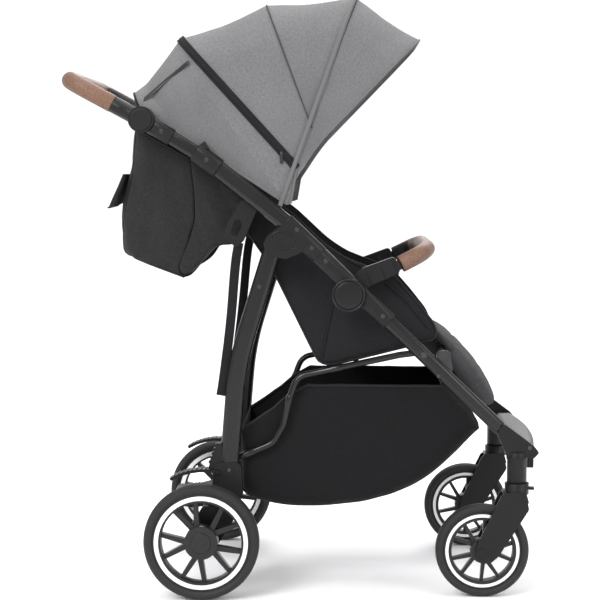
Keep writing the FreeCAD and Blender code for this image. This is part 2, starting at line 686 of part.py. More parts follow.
CASTER_STEM_RADIUS = 19.7
KINGPIN_RADIUS = 5.0
STEM_BOTTOM = 229.0
STEP_HALF = 225.9
STEP_BACK, STEP_END, STEP_NOSE = 426.0, 463.0, 479.0
STEP_BOTTOM, STEP_TOP = 256.0, 304.0
STEP_WALL, STEP_ROUND = 12.0, 9.0


def front_leg_core(grow=0.0):
    height, width = FRONT_LEG_SECTION
    return sleeve(SLEEVE_END - 45, LEG_END, height + 2 * grow, width + 2 * grow)


def front_leg():
    return front_leg_core().cut(front_leg_core(-WALL))


def caster_housing():
    """The end fitting of a front leg, with the upright socket of the caster."""
    outline = [(402, 348), (462, 303), (472, 290), (462, 279), (407, 282), (404, 293), (388, 328)]
    body = plate(outline, MAIN_Y - 12, MAIN_Y + 14, 4)
    stem = Part.makeCylinder(CASTER_STEM_RADIUS, 290 - STEM_BOTTOM, Vector(SWIVEL_X, FRONT_TRACK, STEM_BOTTOM))
    stem = stem.fuse(Part.makeCylinder(CASTER_STEM_RADIUS + 1.4, 5, Vector(SWIVEL_X, FRONT_TRACK, 276)))
    bore = Part.makeCylinder(KINGPIN_RADIUS + RUNNING, 43, Vector(SWIVEL_X, FRONT_TRACK, STEM_BOTTOM))
    return body.fuse(stem).cut(front_leg_core()).cut(bore).removeSplitter()


def front_step():
    """The moulded cross member between the front legs, which is also the child's step."""
    back_left, back_right = Vector(STEP_BACK, STEP_HALF, STEP_BOTTOM), Vector(STEP_BACK, -STEP_HALF, STEP_BOTTOM)
    left, right = Vector(STEP_END, STEP_HALF, STEP_BOTTOM), Vector(STEP_END, -STEP_HALF, STEP_BOTTOM)
    nose = Part.Arc(right, Vector(STEP_NOSE, 0, STEP_BOTTOM), left)
    lines = [Part.LineSegment(a, b) for a, b in ((left, back_left), (back_left, back_right), (back_right, right))]
    plan = Part.Wire([edge.toShape() for edge in [nose] + lines])
    body = Part.Face(plan).extrude(Vector(0, 0, STEP_TOP - STEP_BOTTOM))
    rim = [e for e in body.Edges if e.BoundBox.ZMin > STEP_TOP - 1 and e.BoundBox.XMax > STEP_NOSE - 1]
    body = body.makeFillet(STEP_ROUND, rim)
    low, ceiling = STEP_BOTTOM - 5, STEP_TOP - STEP_WALL
    hollow = [(STEP_BACK - 10, low), (STEP_END - STEP_WALL, low), (STEP_END - STEP_WALL, ceiling)]
    hollow.append((STEP_BACK - 10, ceiling))
    return body.cut(plate(hollow, -STEP_HALF - 1, STEP_HALF + 1))


def front_hardware():
    cross = ring(LEG_REST_HINGE, CROSS_TUBE_RADIUS, CROSS_TUBE_RADIUS - WALL, -228, 228)
    leg_face = MAIN_Y - FRONT_LEG_SECTION[1] / 2
    lug = plate([(268, 490), (296, 490), (304, 438), (272, 456)], 221, leg_face - 0.05, 8)
    for shape in both(disc(LEG_REST_HINGE, 10, 226, 232).fuse(lug)):
        cross = cross.fuse(shape)
    bolt = disc(PIVOT_C, 6, BRACE_Y + 8, MAIN_Y - 10)
    heads = [rivet(PIVOT_C, MAIN_Y + 10, 6), rivet(on_line(268), MAIN_Y + 13), rivet((453, 300), MAIN_Y + 14)]
    catch = rivet(on_line(430, -9), MAIN_Y + 10, 4)
    return [cross.removeSplitter()] + [s for side in [bolt] + heads + [catch] for s in both(side)]


# Brace

BRACE_PATH = [PIVOT_B, (-93.0, 282.0), (-58.0, 297.0), (-37.0, 334.0), (-22.0, 396.0), (-8.0, 433.0),
              (63.0, 448.0), (197.0, 477.0), PIVOT_C]
BRACE_RADIUS = 6.5
BRACE_BEND = 34.0
CLIP_RADIUS = 7.4
BRACE_CLIPS = (((-128.0, 267.5), (-98.0, 280.0)), ((-27.0, 376.0), (-23.0, 394.0)), ((60.0, 447.3), (82.0, 452.1)))
CROSSBAR = (110.0, 458.2)


def brace():
    """Both side tubes with their eyes, clips and connectors, joined by the crossbar under the seat."""
    y = BRACE_Y
    side = rod([xz(p, y) for p in BRACE_PATH], BRACE_RADIUS, BRACE_BEND)
    side = side.fuse(disc(PIVOT_B, 12, y - 7, y + 7)).fuse(disc(PIVOT_C, 11, y - 6.5, y + 6.5))
    for start, end in BRACE_CLIPS:
        side = side.fuse(rod([xz(start, y), xz(end, y)], CLIP_RADIUS, 1))
    side = side.cut(disc(PIVOT_B, B_PIN_RADIUS + RUNNING, y - 10, y + 10))
    side = side.cut(disc(PIVOT_B, 8.3, y - 12, y - 7.9))
    whole = side.fuse(mirrored(side))
    return whole.fuse(disc(CROSSBAR, 6, -y, y))


# Casters

FORK_GAP = 39.0
FRONT_BOLT_RADIUS = 4.0
FORK_ARM = 5.5


def caster_fork():
    """Collar, kingpin, bridge and the two arms, with the wheel's bolt."""
    collar = Part.makeCylinder(24, 22, Vector(SWIVEL_X, FRONT_TRACK, STEM_BOTTOM - 22.5))
    kingpin = Part.makeCylinder(KINGPIN_RADIUS, 60, Vector(SWIVEL_X, FRONT_TRACK, STEM_BOTTOM - 20))
    inner, outer = FRONT_TRACK - FORK_GAP / 2, FRONT_TRACK + FORK_GAP / 2
    bridge = plate([(400, 212), (446, 212), (452, 190), (410, 188)], inner - FORK_ARM, outer + FORK_ARM, 3)
    body = collar.fuse(kingpin).fuse(bridge)
    arm = [(398, 208), (446, 208), (452, 178), (392, 84), (376, 70), (356, 70), (346, 84), (350, 108)]
    for low in (inner - FORK_ARM, outer):
        body = body.fuse(plate(arm, low, low + FORK_ARM, 10))
    body = body.fuse(disc(FRONT_AXLE, FRONT_BOLT_RADIUS, inner - 1, outer + 1))
    head = disc(FRONT_AXLE, 8, outer + FORK_ARM - 0.5, outer + FORK_ARM + 2)
    pivot = disc((443, 199), 5, outer + FORK_ARM - 0.5, outer + FORK_ARM + 1.5)
    return body.fuse(head).fuse(pivot).removeSplitter()


def swivel_lock():
    """The tab that locks the caster straight."""
    tab = Part.makeBox(10, 14, 5, Vector(SWIVEL_X + 24.3, FRONT_TRACK - 7, 215))
    outer = [e for e in tab.Edges if abs(e.BoundBox.ZLength - 5) < 0.01 and e.BoundBox.XMin > SWIVEL_X + 30]
    return tab.makeFillet(1.8, outer)


def build():
    os.makedirs("parts", exist_ok=True)
    save_sides("rear_leg", rear_leg())
    save("rear_axle_beam", round_tube([xz(BEAM, -LEG_INNER + 3), xz(BEAM, LEG_INNER - 3)], BEAM_RADIUS, 1))
    save("rear_axle_housings", *both(rear_housing()))
    save("rear_frame_pins", *[s for pin in rear_pins() for s in both(pin)])
    save("brake_pedal", brake_pedal())
    save_wheel("rear", build_rear_wheel())
    save_wheel("front", build_front_wheel())
    save_sides("upper_tube", upper_tube())
    save("frame_brackets", *both(frame_bracket()))
    save("knee_hubs_upper", *both(knee_upper()))
    save("knee_hubs_lower", *both(knee_lower()))
    save("tube_fittings", *[s for piece in tube_fitting() for s in both(piece)])
    save("recline_guides", *both(recline_guide()))
    save("upper_screws", *[s for piece in upper_screws() for s in both(piece)])
    save("handle_tube", round_tube(handle_points(30), HANDLE_TUBE_RADIUS, HANDLE_BEND))
    grip = rod(handle_points(65), GRIP_RADIUS, HANDLE_BEND)
    save("handle_grip", grip.cut(rod(handle_points(64), HANDLE_TUBE_RADIUS, HANDLE_BEND)))
    save("handle_joints", *both(handle_joint()))
    save_sides("handle_button", handle_button())
    for index, name in enumerate(("rear", "middle", "front")):
        save("hood_bow_" + name, hood_bow(index))
    save("hood_canopy", canopy())
    save("bumper_arms", *both(bumper_arm()))
    save("bumper_bar", bumper_bar().cut(bumper_arm()).cut(mirrored(bumper_arm())))
    save_sides("bumper_button", bumper_button())
    save("recline_rod", recline_rod())
    save("seat_back_board", seat_back_board())
    save("seat_back_pad", slab(xz(SEAT_HINGE), BACK, BACK_FRONT, (36, BACK_LENGTH), (6, 34), SEAT_HALF, 35))
    save("seat_base_board", seat_base_board())
    save("seat_base_pad", slab(BASE_START, BASE, BASE_UP, (30, BASE_LENGTH), (10, 38), SEAT_HALF, 25))
    save("seat_side_panels", *both(seat_side_panel()))
    save("rear_pocket", rear_pocket())
    save("harness_buckle", harness_buckle())
    save("buckle_button", buckle_button())
    save("leg_rest", leg_rest())
    save_sides("front_leg", front_leg())
    save("caster_housings", *both(caster_housing()))
    save("front_step", front_step())
    save("front_hardware", *front_hardware())
    save("brace_frame", brace())
    save("basket", basket())
    save_sides("caster_fork", caster_fork())
    save_sides("swivel_lock", swivel_lock())


build()
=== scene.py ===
import json
import math

import bmesh
import bpy
import numpy as np
from mathutils import Euler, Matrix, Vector, noise
from mathutils.geometry import delaunay_2d_cdt


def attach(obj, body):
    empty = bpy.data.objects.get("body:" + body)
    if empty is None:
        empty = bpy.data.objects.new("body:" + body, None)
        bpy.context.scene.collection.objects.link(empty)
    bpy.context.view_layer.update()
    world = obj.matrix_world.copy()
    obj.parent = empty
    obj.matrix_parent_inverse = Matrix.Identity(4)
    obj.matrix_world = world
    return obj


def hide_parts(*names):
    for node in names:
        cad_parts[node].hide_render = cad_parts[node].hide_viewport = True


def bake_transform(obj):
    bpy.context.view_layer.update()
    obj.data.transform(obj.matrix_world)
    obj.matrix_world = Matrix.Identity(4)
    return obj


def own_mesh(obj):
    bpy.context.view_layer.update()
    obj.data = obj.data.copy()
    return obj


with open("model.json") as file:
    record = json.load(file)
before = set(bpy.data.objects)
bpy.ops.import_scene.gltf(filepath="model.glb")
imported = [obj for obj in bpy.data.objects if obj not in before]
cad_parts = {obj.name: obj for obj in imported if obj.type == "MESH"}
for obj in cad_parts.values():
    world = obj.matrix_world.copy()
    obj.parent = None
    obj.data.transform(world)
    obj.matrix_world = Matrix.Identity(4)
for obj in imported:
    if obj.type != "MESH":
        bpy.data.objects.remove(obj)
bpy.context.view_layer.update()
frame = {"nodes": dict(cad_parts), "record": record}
NODES = frame["nodes"]
MM = 0.001
CLOTH = 1.6
THIN_CLOTH = 1.4
LEAST_COVER = 0.35
BUMP_DEPTH = 0.0004
SIDES = (("left", 1), ("right", -1))


# ---------------------------------------------------------------- materials

def shader(name, colour, rough, metal=0.0, spread=0.15, grain=700.0, bump=0.1, rough_spread=0.1, weave=0.0,
           speck=0.0, sheen=0.0, cells=0.0, gloss=0.3, ribs=None):
    """A principled material with noise in its colour, roughness and height, and a weave or leather cells on
    request. ribs is the colour of the side that looks at the middle plane, and how high that side's ribs are.
    """
    made = bpy.data.materials.new(name)
    made.use_nodes = True
    tree = made.node_tree
    tree.nodes.clear()
    new, link = tree.nodes.new, tree.links.new
    out = new("ShaderNodeOutputMaterial")
    bsdf = new("ShaderNodeBsdfPrincipled")
    link(bsdf.outputs[0], out.inputs[0])
    where = new("ShaderNodeTexCoord").outputs["UV" if weave else "Object"]

    def maths(kind, a, b):
        node = new("ShaderNodeMath")
        node.operation = kind
        for socket, value in zip(node.inputs, (a, b)):
            if isinstance(value, (int, float)):
                socket.default_value = value
            else:
                link(value, socket)
        return node.outputs[0]

    def noise_at(scale, detail=3.0):
        node = new("ShaderNodeTexNoise")
        node.inputs["Scale"].default_value = scale
        node.inputs["Detail"].default_value = detail
        link(where, node.inputs["Vector"])
        return node.outputs["Fac"]

    fine, broad = noise_at(grain), noise_at(9.0, 5.0)
    height = fine
    shade = maths("ADD", maths("MULTIPLY", maths("SUBTRACT", broad, 0.5), spread * 1.6),
                  maths("MULTIPLY", maths("SUBTRACT", fine, 0.5), spread))
    if weave:
        for direction in ("X", "Y"):
            wave = new("ShaderNodeTexWave")
            wave.bands_direction = direction
            wave.inputs["Scale"].default_value = weave
            wave.inputs["Distortion"].default_value = 0.6
            wave.inputs["Detail"].default_value = 1.0
            link(where, wave.inputs["Vector"])
            height = maths("ADD", height, wave.outputs["Fac"])
            shade = maths("ADD", shade, maths("MULTIPLY", maths("SUBTRACT", wave.outputs["Fac"], 0.5), spread))
    if speck:
        thread = noise_at(speck, 1.0)
        blotch = noise_at(speck * 0.4, 2.0)
        shade = maths("ADD", shade, maths("MULTIPLY", maths("SUBTRACT", thread, 0.5), spread * 3.0))
        shade = maths("ADD", shade, maths("MULTIPLY", maths("SUBTRACT", blotch, 0.5), spread * 2.0))
    if cells:
        voronoi = new("ShaderNodeTexVoronoi")
        voronoi.feature = "DISTANCE_TO_EDGE"
        voronoi.inputs["Scale"].default_value = cells
        link(where, voronoi.inputs["Vector"])
        crease = maths("MINIMUM", maths("MULTIPLY", voronoi.outputs["Distance"], 5.0), 1.0)
        height = maths("ADD", height, crease)
        shade = maths("ADD", shade, maths("MULTIPLY", maths("SUBTRACT", crease, 1.0), 0.35))
    gain = maths("ADD", shade, 1.0)
    tint = new("ShaderNodeVectorMath")
    tint.operation = "SCALE"
    tint.inputs[0].default_value = colour
    link(gain, tint.inputs["Scale"])
    base = tint.outputs[0]
    if ribs:
        face = new("ShaderNodeSeparateXYZ")
        link(new("ShaderNodeNewGeometry").outputs["Normal"], face.inputs[0])
        spot = new("ShaderNodeSeparateXYZ")
        link(where, spot.inputs[0])
        sign = maths("SIGN", spot.outputs["Y"], 0)
        toward = maths("MULTIPLY", maths("MULTIPLY", face.outputs["Y"], sign), -1.0)
        inner = maths("GREATER_THAN", toward, 0.3)
        wave = new("ShaderNodeTexWave")
        wave.bands_direction = "X"
        wave.inputs["Scale"].default_value = 55.0
        link(where, wave.inputs["Vector"])
        height = maths("ADD", height, maths("MULTIPLY", maths("MULTIPLY", wave.outputs["Fac"], inner), ribs[3]))
        blend = new("ShaderNodeMix")
        blend.data_type = "RGBA"
        link(inner, blend.inputs["Factor"])
        sockets = [x for x in blend.inputs if x.type == "RGBA"]
        link(base, sockets[0])
        sockets[1].default_value = (*ribs[:3], 1.0)
        base = [x for x in blend.outputs if x.type == "RGBA"][0]
    link(base, bsdf.inputs["Base Color"])
    patches = maths("MULTIPLY", maths("SUBTRACT", broad, 0.5), rough_spread * 2)
    link(maths("ADD", patches, rough), bsdf.inputs["Roughness"])
    lift = new("ShaderNodeBump")
    lift.inputs["Strength"].default_value = bump
    lift.inputs["Distance"].default_value = BUMP_DEPTH
    link(height, lift.inputs["Height"])
    link(lift.outputs[0], bsdf.inputs["Normal"])
    bsdf.inputs["Metallic"].default_value = metal
    bsdf.inputs["Specular IOR Level"].default_value = gloss
    bsdf.inputs["Sheen Weight"].default_value = sheen
    bsdf.inputs["Sheen Roughness"].default_value = 0.5
    return made


MATS = {
    "frame_metal": shader("frame_metal", (0.0055, 0.0055, 0.006), 0.25, grain=1400, bump=0.25, spread=0.1,
                          gloss=0.36),
    "frame_plastic": shader("frame_plastic", (0.0075, 0.0075, 0.0082), 0.4, grain=2200, bump=0.35, spread=0.12,
                            gloss=0.22),
    "dark_steel": shader("dark_steel", (0.045, 0.045, 0.047), 0.22, metal=0.6, grain=900, bump=0.1, gloss=0.5),
    "tyre": shader("tyre", (0.018, 0.018, 0.019), 0.62, grain=500, bump=0.35, spread=0.2, gloss=0.25),
    "wheel_rim": shader("wheel_rim", (0.012, 0.012, 0.013), 0.36, grain=1500, bump=0.2, spread=0.1, gloss=0.3),
    "wheel_ring": shader("wheel_ring", (0.78, 0.78, 0.79), 0.24, metal=0.55, grain=600, bump=0.05, spread=0.05,
                         gloss=0.5),
    "handle_cover": shader("handle_cover", (0.17, 0.092, 0.06), 0.5, grain=160, cells=260, bump=0.4, spread=0.3,
                           ribs=(0.016, 0.016, 0.017, 0.4)),
    "grip_cover": shader("grip_cover", (0.17, 0.092, 0.06), 0.5, grain=160, cells=260, bump=0.4, spread=0.3,
                         ribs=(0.016, 0.016, 0.017, 4.0)),
    "hood_fabric": shader("hood_fabric", (0.158, 0.158, 0.162), 0.86, grain=900, weave=330, speck=420, bump=0.8,
                          spread=0.26, sheen=0.15, gloss=0.15),
    "seat_fabric": shader("seat_fabric", (0.0125, 0.0125, 0.0138), 0.84, grain=800, weave=300, speck=380,
                          bump=0.5, spread=0.25, sheen=0.05, gloss=0.12),
    "leg_fabric": shader("leg_fabric", (0.042, 0.042, 0.044), 0.84, grain=800, weave=300, speck=380, bump=0.6,
                         spread=0.3, sheen=0.08, gloss=0.12),
    "step_rubber": shader("step_rubber", (0.15, 0.15, 0.152), 0.7, grain=1100, bump=0.5, spread=0.15,
                          gloss=0.25),
    "hood_seam": shader("hood_seam", (0.05, 0.05, 0.052), 0.8, grain=1500, bump=0.4, spread=0.2, gloss=0.15),
    "hub_face": shader("hub_face", (0.0035, 0.0035, 0.004), 0.34, grain=1800, bump=0.15, spread=0.1, gloss=0.3),
    "pocket_fabric": shader("pocket_fabric", (0.0165, 0.0165, 0.0175), 0.8, grain=700, weave=240, speck=300,
                            bump=0.6, spread=0.35, sheen=0.06, gloss=0.16),
    "bag_fabric": shader("bag_fabric", (0.0065, 0.0065, 0.0074), 0.8, grain=700, weave=240, speck=300, bump=0.5,
                         spread=0.25, sheen=0.04, gloss=0.14),
    "seat_board": shader("seat_board", (0.014, 0.014, 0.015), 0.7, grain=1000, bump=0.4, gloss=0.2),
    "webbing": shader("webbing", (0.014, 0.014, 0.0155), 0.7, grain=900, weave=520, bump=0.8, spread=0.3,
                      gloss=0.15),
    "piping": shader("piping", (0.008, 0.008, 0.009), 0.6, grain=1500, bump=0.4, spread=0.2, gloss=0.2),
    "zip_teeth": shader("zip_teeth", (0.012, 0.012, 0.013), 0.35, grain=900, bump=0.2, gloss=0.4),
    # Near-black strip for the hood: the rolled flap edge over the window, with the shade under it painted in as
    # dark colour
    "flap_edge_shadow": shader("flap_edge_shadow", (0.01, 0.01, 0.011), 0.4, grain=1800, bump=0.3, gloss=0.4),
}


# ---------------------------------------------------------------- mesh helpers

def add_mesh(name, verts, faces, material, body=None, uvs=None):
    """A mesh in metres from points in millimetres."""
    mesh = bpy.data.meshes.new(name)
    corners = [tuple(float(c) * MM for c in v) for v in verts]
    mesh.from_pydata(corners, [], [tuple(int(i) for i in f) for f in faces])
    if uvs is not None:
        layer = mesh.uv_layers.new(name="UVMap")
        flat = np.asarray(uvs, float)[[i for f in faces for i in f]] * MM
        layer.data.foreach_set("uv", flat.astype(np.float32).ravel())
    mesh.polygons.foreach_set("use_smooth", [True] * len(mesh.polygons))
    mesh.update()
    made = bpy.data.objects.new(name, mesh)
    bpy.context.scene.collection.objects.link(made)
    mesh.materials.append(MATS[material])
    if body:
        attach(made, body)
    return made


def grid_faces(rows, cols, wrap=False):
    """Quads between the points of a grid, closed across its columns on request."""
    faces = []
    for i in range(rows - 1):
        for j in range(cols if wrap else cols - 1):
            k = (j + 1) % cols
            faces.append((i * cols + j, i * cols + k, (i + 1) * cols + k, (i + 1) * cols + j))
    return faces


def surface(name, points, material, body=None, thick=0.0, flip=False):
    """A sheet through a grid of points, with its UVs measured along the cloth."""
    points = np.asarray(points, float)
    rows, cols = points.shape[:2]
    across = np.linalg.norm(np.diff(points, axis=1), axis=2).cumsum(axis=1)
    across = np.concatenate([np.zeros((rows, 1)), across], axis=1)
    across -= across[:, -1:] / 2
    along = np.linalg.norm(np.diff(points, axis=0), axis=2).cumsum(axis=0)
    along = np.concatenate([np.zeros((1, cols)), along], axis=0)
    faces = grid_faces(rows, cols)
    if flip:
        faces = [tuple(reversed(f)) for f in faces]
    uvs = np.stack([across, along.mean(axis=1, keepdims=True).repeat(cols, axis=1)], axis=2).reshape(-1, 2)
    made = add_mesh(name, points.reshape(-1, 3), faces, material, None, uvs)
    if thick:
        solid = made.modifiers.new("thickness", "SOLIDIFY")
        solid.thickness = thick * MM
        solid.offset = -1.0
        bake(made)
    if body:
        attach(made, body)
    return made


def cloth(points):
    """Measures the flat size of a sheet along its grid, and keeps nothing. The length is cut so that the area is
    no less than LEAST_COVER of the flat rectangle.
    """
    points = np.asarray(points, float) * MM
    across = np.linalg.norm(np.diff(points, axis=1), axis=2).sum(axis=1).max()
    along = np.linalg.norm(np.diff(points, axis=0), axis=2).sum(axis=0).max()
    u, v = points[1:, :-1] - points[:-1, :-1], points[:-1, 1:] - points[:-1, :-1]
    area = np.linalg.norm(np.cross(u, v), axis=2).sum()
    along = min(along, area / (LEAST_COVER * across))


def bake(made):
    """Applies the object's modifiers."""
    graph = bpy.context.evaluated_depsgraph_get()
    bpy.context.view_layer.update()
    mesh = bpy.data.meshes.new_from_object(made.evaluated_get(graph))
    made.modifiers.clear()
    made.data = mesh


def resample(points, count, closed=False):
    """Evenly spaced points along a polyline."""
    points = np.asarray(points, float)
    if closed:
        points = np.concatenate([points, points[:1]])
    steps = np.concatenate([[0], np.linalg.norm(np.diff(points, axis=0), axis=1).cumsum()])
    at = np.linspace(0, steps[-1], count + 1 if closed else count)
    out = np.stack([np.interp(at, steps, points[:, i]) for i in range(points.shape[1])], axis=1)
    return out[:-1] if closed else out


def smooth_line(points, passes=2, closed=False):
    """Corner cutting."""
    points = [np.asarray(p, float) for p in points]
    for _ in range(passes):
        made = [] if closed else [points[0]]
        count = len(points)
        for i in range(count if closed else count - 1):
            a, b = points[i], points[(i + 1) % count]
            made += [a * 0.75 + b * 0.25, a * 0.25 + b * 0.75]
        if not closed:
            made.append(points[-1])
        points = made
    return np.array(points)


def tangents(points):
    """Unit directions along a line."""
    t = np.gradient(points, axis=0)
    return t / np.maximum(np.linalg.norm(t, axis=1, keepdims=True), 1e-9)


def pipe(name, points, radius, material, body=None, sides=10):
    """A round cord along a line."""
    points = np.asarray(points, float)
    t = tangents(points)
    side = np.cross(t[0], (0.12, 0.31, 0.94))
    rows = []
    for p, d in zip(points, t):
        side = side - d * (side @ d)
        side /= np.linalg.norm(side)
        other = np.cross(d, side)
        turn = np.linspace(0, 2 * math.pi, sides, endpoint=False)
        rows.append(p + radius * (np.cos(turn)[:, None] * side + np.sin(turn)[:, None] * other))
    verts = np.concatenate(rows)
    faces = grid_faces(len(points), sides, True)
    faces += [tuple(range(sides)), tuple(range((len(points) - 1) * sides, len(points) * sides))[::-1]]
    return add_mesh(name, verts, faces, material, body, uvs=np.zeros((len(verts), 2)))


def strap(name, points, normals, width, thick, material, body=None):
    """A flat webbing band along a line. The normals point out of its face."""
    points, normals = np.asarray(points, float), np.asarray(normals, float)
    if normals.ndim == 1:
        normals = np.repeat(normals[None], len(points), axis=0)
    t = tangents(points)
    rows = []
    half, h = width / 2, thick / 2
    profile = [(-half + h, h), (half - h, h), (half, 0), (half - h, -h), (-half + h, -h), (-half, 0)]
    sides = len(profile)
    for p, d, n in zip(points, t, normals):
        n = n - d * (n @ d)
        n /= np.linalg.norm(n)
        s = np.cross(d, n)
        rows.append([p + s * a + n * b for a, b in profile])
    rows = np.array(rows)
    count = len(points)
    length = np.concatenate([[0], np.linalg.norm(np.diff(points, axis=0), axis=1).cumsum()])
    uvs = np.array([[(a, l) for a, _ in profile] for l in length]).reshape(-1, 2)
    faces = grid_faces(count, sides, True)
    faces += [tuple(range(sides))[::-1], tuple(range((count - 1) * sides, count * sides))]
    return add_mesh(name, rows.reshape(-1, 3), faces, material, body, uvs)


def stitches(name, points, normals, pitch, length, radius, material, body=None):
    """A row of short raised threads along a line."""
    points = np.asarray(points, float)
    total = np.linalg.norm(np.diff(points, axis=0), axis=1).sum()
    count = max(2, int(total / pitch))
    fine = resample(points, count)
    if np.asarray(normals).ndim == 2:
        normals = resample(np.concatenate([points, np.asarray(normals, float)], axis=1), count)[:, 3:]
    else:
        normals = np.repeat(np.asarray(normals, float)[None], count, axis=0)
    t = tangents(fine)
    verts, faces = [], []
    for p, d, n in zip(fine, t, normals):
        n = n / np.linalg.norm(n)
        s = np.cross(d, n)
        base = len(verts)
        for along, scale in ((-0.5, 0.35), (0.0, 1.0), (0.5, 0.35)):
            for a, b in ((-1, 0), (0, 1.0), (1, 0), (0, -1.0)):
                verts.append(p + d * along * length + (s * a + n * b) * radius * scale)
        for ring in range(2):
            for k in range(4):
                m = (k + 1) % 4
                low = base + ring * 4
                faces.append((low + k, low + m, low + 4 + m, low + 4 + k))
        faces += [(base + 3, base + 2, base + 1, base), (base + 8, base + 9, base + 10, base + 11)]
    return add_mesh(name, verts, faces, material, body, uvs=np.zeros((len(verts), 2)))


def wrinkle(p, scale, size, seed=0.0):
    """Smooth noise of a point in millimetres."""
    return size * noise.noise(Vector((p[0] * scale + seed, p[1] * scale + 3.1 * seed, p[2] * scale - seed)))


# ---------------------------------------------------------------- CAD nodes

for name, node in NODES.items():
    kind = next(s["material_slot"] for s in frame["record"]["subparts"] if s["node"] == name)
    node.data.materials.clear()
    node.data.materials.append(MATS["grip_cover" if name == "handle_grip" else kind])
    weld = node.modifiers.new("weld", "WELD")
    weld.merge_threshold = 0.00001
    if not any(word in name for word in ("tyre", "ring")):
        edge = node.modifiers.new("edge", "BEVEL")
        edge.width = 0.0007
        edge.segments = 2
        edge.limit_method = "ANGLE"
        edge.angle_limit = math.radians(35)
        edge.harden_normals = True


# ---------------------------------------------------------------- hood

HALF = 222.0
ARCH = 72
CORNER = 92.0
# X and Z of the lower end and of the top of each seam
HEM = ((-322, 971), (-334, 1001))
ZIP = ((-9, 852), (-246, 1112))
MIDDLE = ((21, 931), (-72, 1179))
FRONT = ((-42, 778), (107, 1195))
VISOR = ((32, 899), (236, 1109))
HOOD_CENTRE = np.array([-60.0, 0.0, 900.0])


def arch(base, top, half):
    """Points up one side, over the top and down the other side."""
    base, top = np.array(base, float), np.array(top, float)
    height = np.linalg.norm(top - base)
    up = (top - base) / height
    radius = min(CORNER, height * 0.8)
    flat = height - radius
    outline = [(half, d) for d in np.linspace(0, flat, 24)]
    for turn in np.linspace(0, math.pi / 2, 14)[1:]:
        outline.append((half - radius + radius * math.cos(turn), flat + radius * math.sin(turn)))
    outline += [(y, height) for y in np.linspace(half - radius, 0, 12)[1:]]
    outline += [(-y, d) for y, d in reversed(outline[:-1])]
    rows = [(base[0] + up[0] * d, y, base[1] + up[1] * d) for y, d in outline]
    return resample(rows, ARCH * 2 + 1)


def panel(base_line, tops, sag, seed, steps=26, narrow=0.0, calm=1.0):
    """Arches between two seams, drawn in between the bows.

    base_line holds X, Z and share of points along the lower edge. narrow is how much less wide the first arch
    is, and calm scales the wrinkles.
    """
    xs, zs, shares = zip(*base_line)
    rows = []
    for v in np.linspace(0, 1, steps):
        base = np.array([np.interp(v, shares, xs), np.interp(v, shares, zs)])
        top = np.array(tops[0]) * (1 - v) + np.array(tops[1]) * v
        rows.append(arch(base, top, HALF - narrow * (1 - v)))
    rows = np.array(rows)
    for i, v in enumerate(np.linspace(0, 1, steps)):
        dip = sag * math.sin(math.pi * v)
        edge = max(0.0, math.sin(math.pi * v)) ** 0.5
        inward = -outward(rows[i])
        for j in range(rows.shape[1]):
            p = rows[i, j]
            # The cloth is held tight near both lower ends
            share = min(1.0, min(j, rows.shape[1] - 1 - j) / 22.0)
            fold = wrinkle(p, 0.011, 3.4, seed) + wrinkle(p, 0.03, 1.1, seed + 5)
            give = dip * share + max(0.0, fold + 1.2) * calm * edge * (0.35 + 0.65 * share)
            rows[i, j] = p + inward[j] * give
    return rows


def outward(row):
    """Directions from the middle of the hood through the points of a row."""
    away = np.array(row) - HOOD_CENTRE
    away[:, 1] *= 1.6
    return away / np.linalg.norm(away, axis=1, keepdims=True)


def lifted(row, height):
    """A line above the cloth, or below it for a height under zero."""
    return np.array(row) + outward(row) * height


rear_rows = panel([(*HEM[0], 0.0), (-22, 776, 0.90), (*ZIP[0], 1.0)], (HEM[1], ZIP[1]), steps=34, sag=1.0,
                  seed=1.0, narrow=8.0, calm=0.3)
zip_rows = panel([(*ZIP[0], 0.0), (*MIDDLE[0], 1.0)], (ZIP[1], MIDDLE[1]), sag=5.0, seed=7.0)
front_rows = panel([(*MIDDLE[0], 0.0), (20.9, 930.8, 1.0)], (MIDDLE[1], FRONT[1]), sag=4.0, seed=12.0)
visor_rows = panel([(*FRONT[0], 0.0), (*VISOR[0], 1.0)], (FRONT[1], VISOR[1]), sag=3.0, seed=20.0)

hood_rear = surface("hood_rear_panel", rear_rows, "hood_fabric", thick=CLOTH)
hood_mid = surface("hood_middle_panel", zip_rows, "hood_fabric", thick=CLOTH)
hood_front = surface("hood_front_panel", front_rows, "hood_fabric", thick=CLOTH)
hood_visor = surface("hood_visor", visor_rows, "hood_fabric", "hood_front", thick=CLOTH)
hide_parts("hood_canopy")

zip_line = rear_rows[-1]
zip_out = outward(zip_line)
strap("hood_zip_tape", lifted(zip_line, 1.4), zip_out, 17, 1.4, "webbing", "hood_rear")
stitches("hood_zip_teeth", lifted(zip_line, 2.3), zip_out, 3.2, 2.0, 1.7, "zip_teeth", "hood_rear")
pipe("hood_middle_seam", lifted(zip_rows[-1], 0.2), 1.4, "hood_seam", "hood_middle")
pipe("hood_front_ridge", lifted(visor_rows[0], 1.2), 4.6, "hood_fabric", "hood_front")
pipe("hood_front_seam", lifted(visor_rows[1], 0.1), 1.2, "hood_seam", "hood_front")
pipe("hood_visor_binding", lifted(visor_rows[-1], -0.2), 2.4, "hood_fabric", "hood_front")
pipe("hood_hem_binding", lifted(rear_rows[0], -0.2), 2.2, "piping", "upper_frame")
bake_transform(hood_rear)
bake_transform(hood_mid)
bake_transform(hood_front)
cloth(rear_rows)
cloth(zip_rows)
cloth(front_rows)
cloth(visor_rows)


def on_cloth(rows, x, z, side):
    """The grid point of one side of the hood nearest to an X-Z point."""
    near = rows[rows[:, :, 1] * side > 150.0]
    return near[np.argmin((near[:, 0] - x) ** 2 + (near[:, 2] - z) ** 2)]


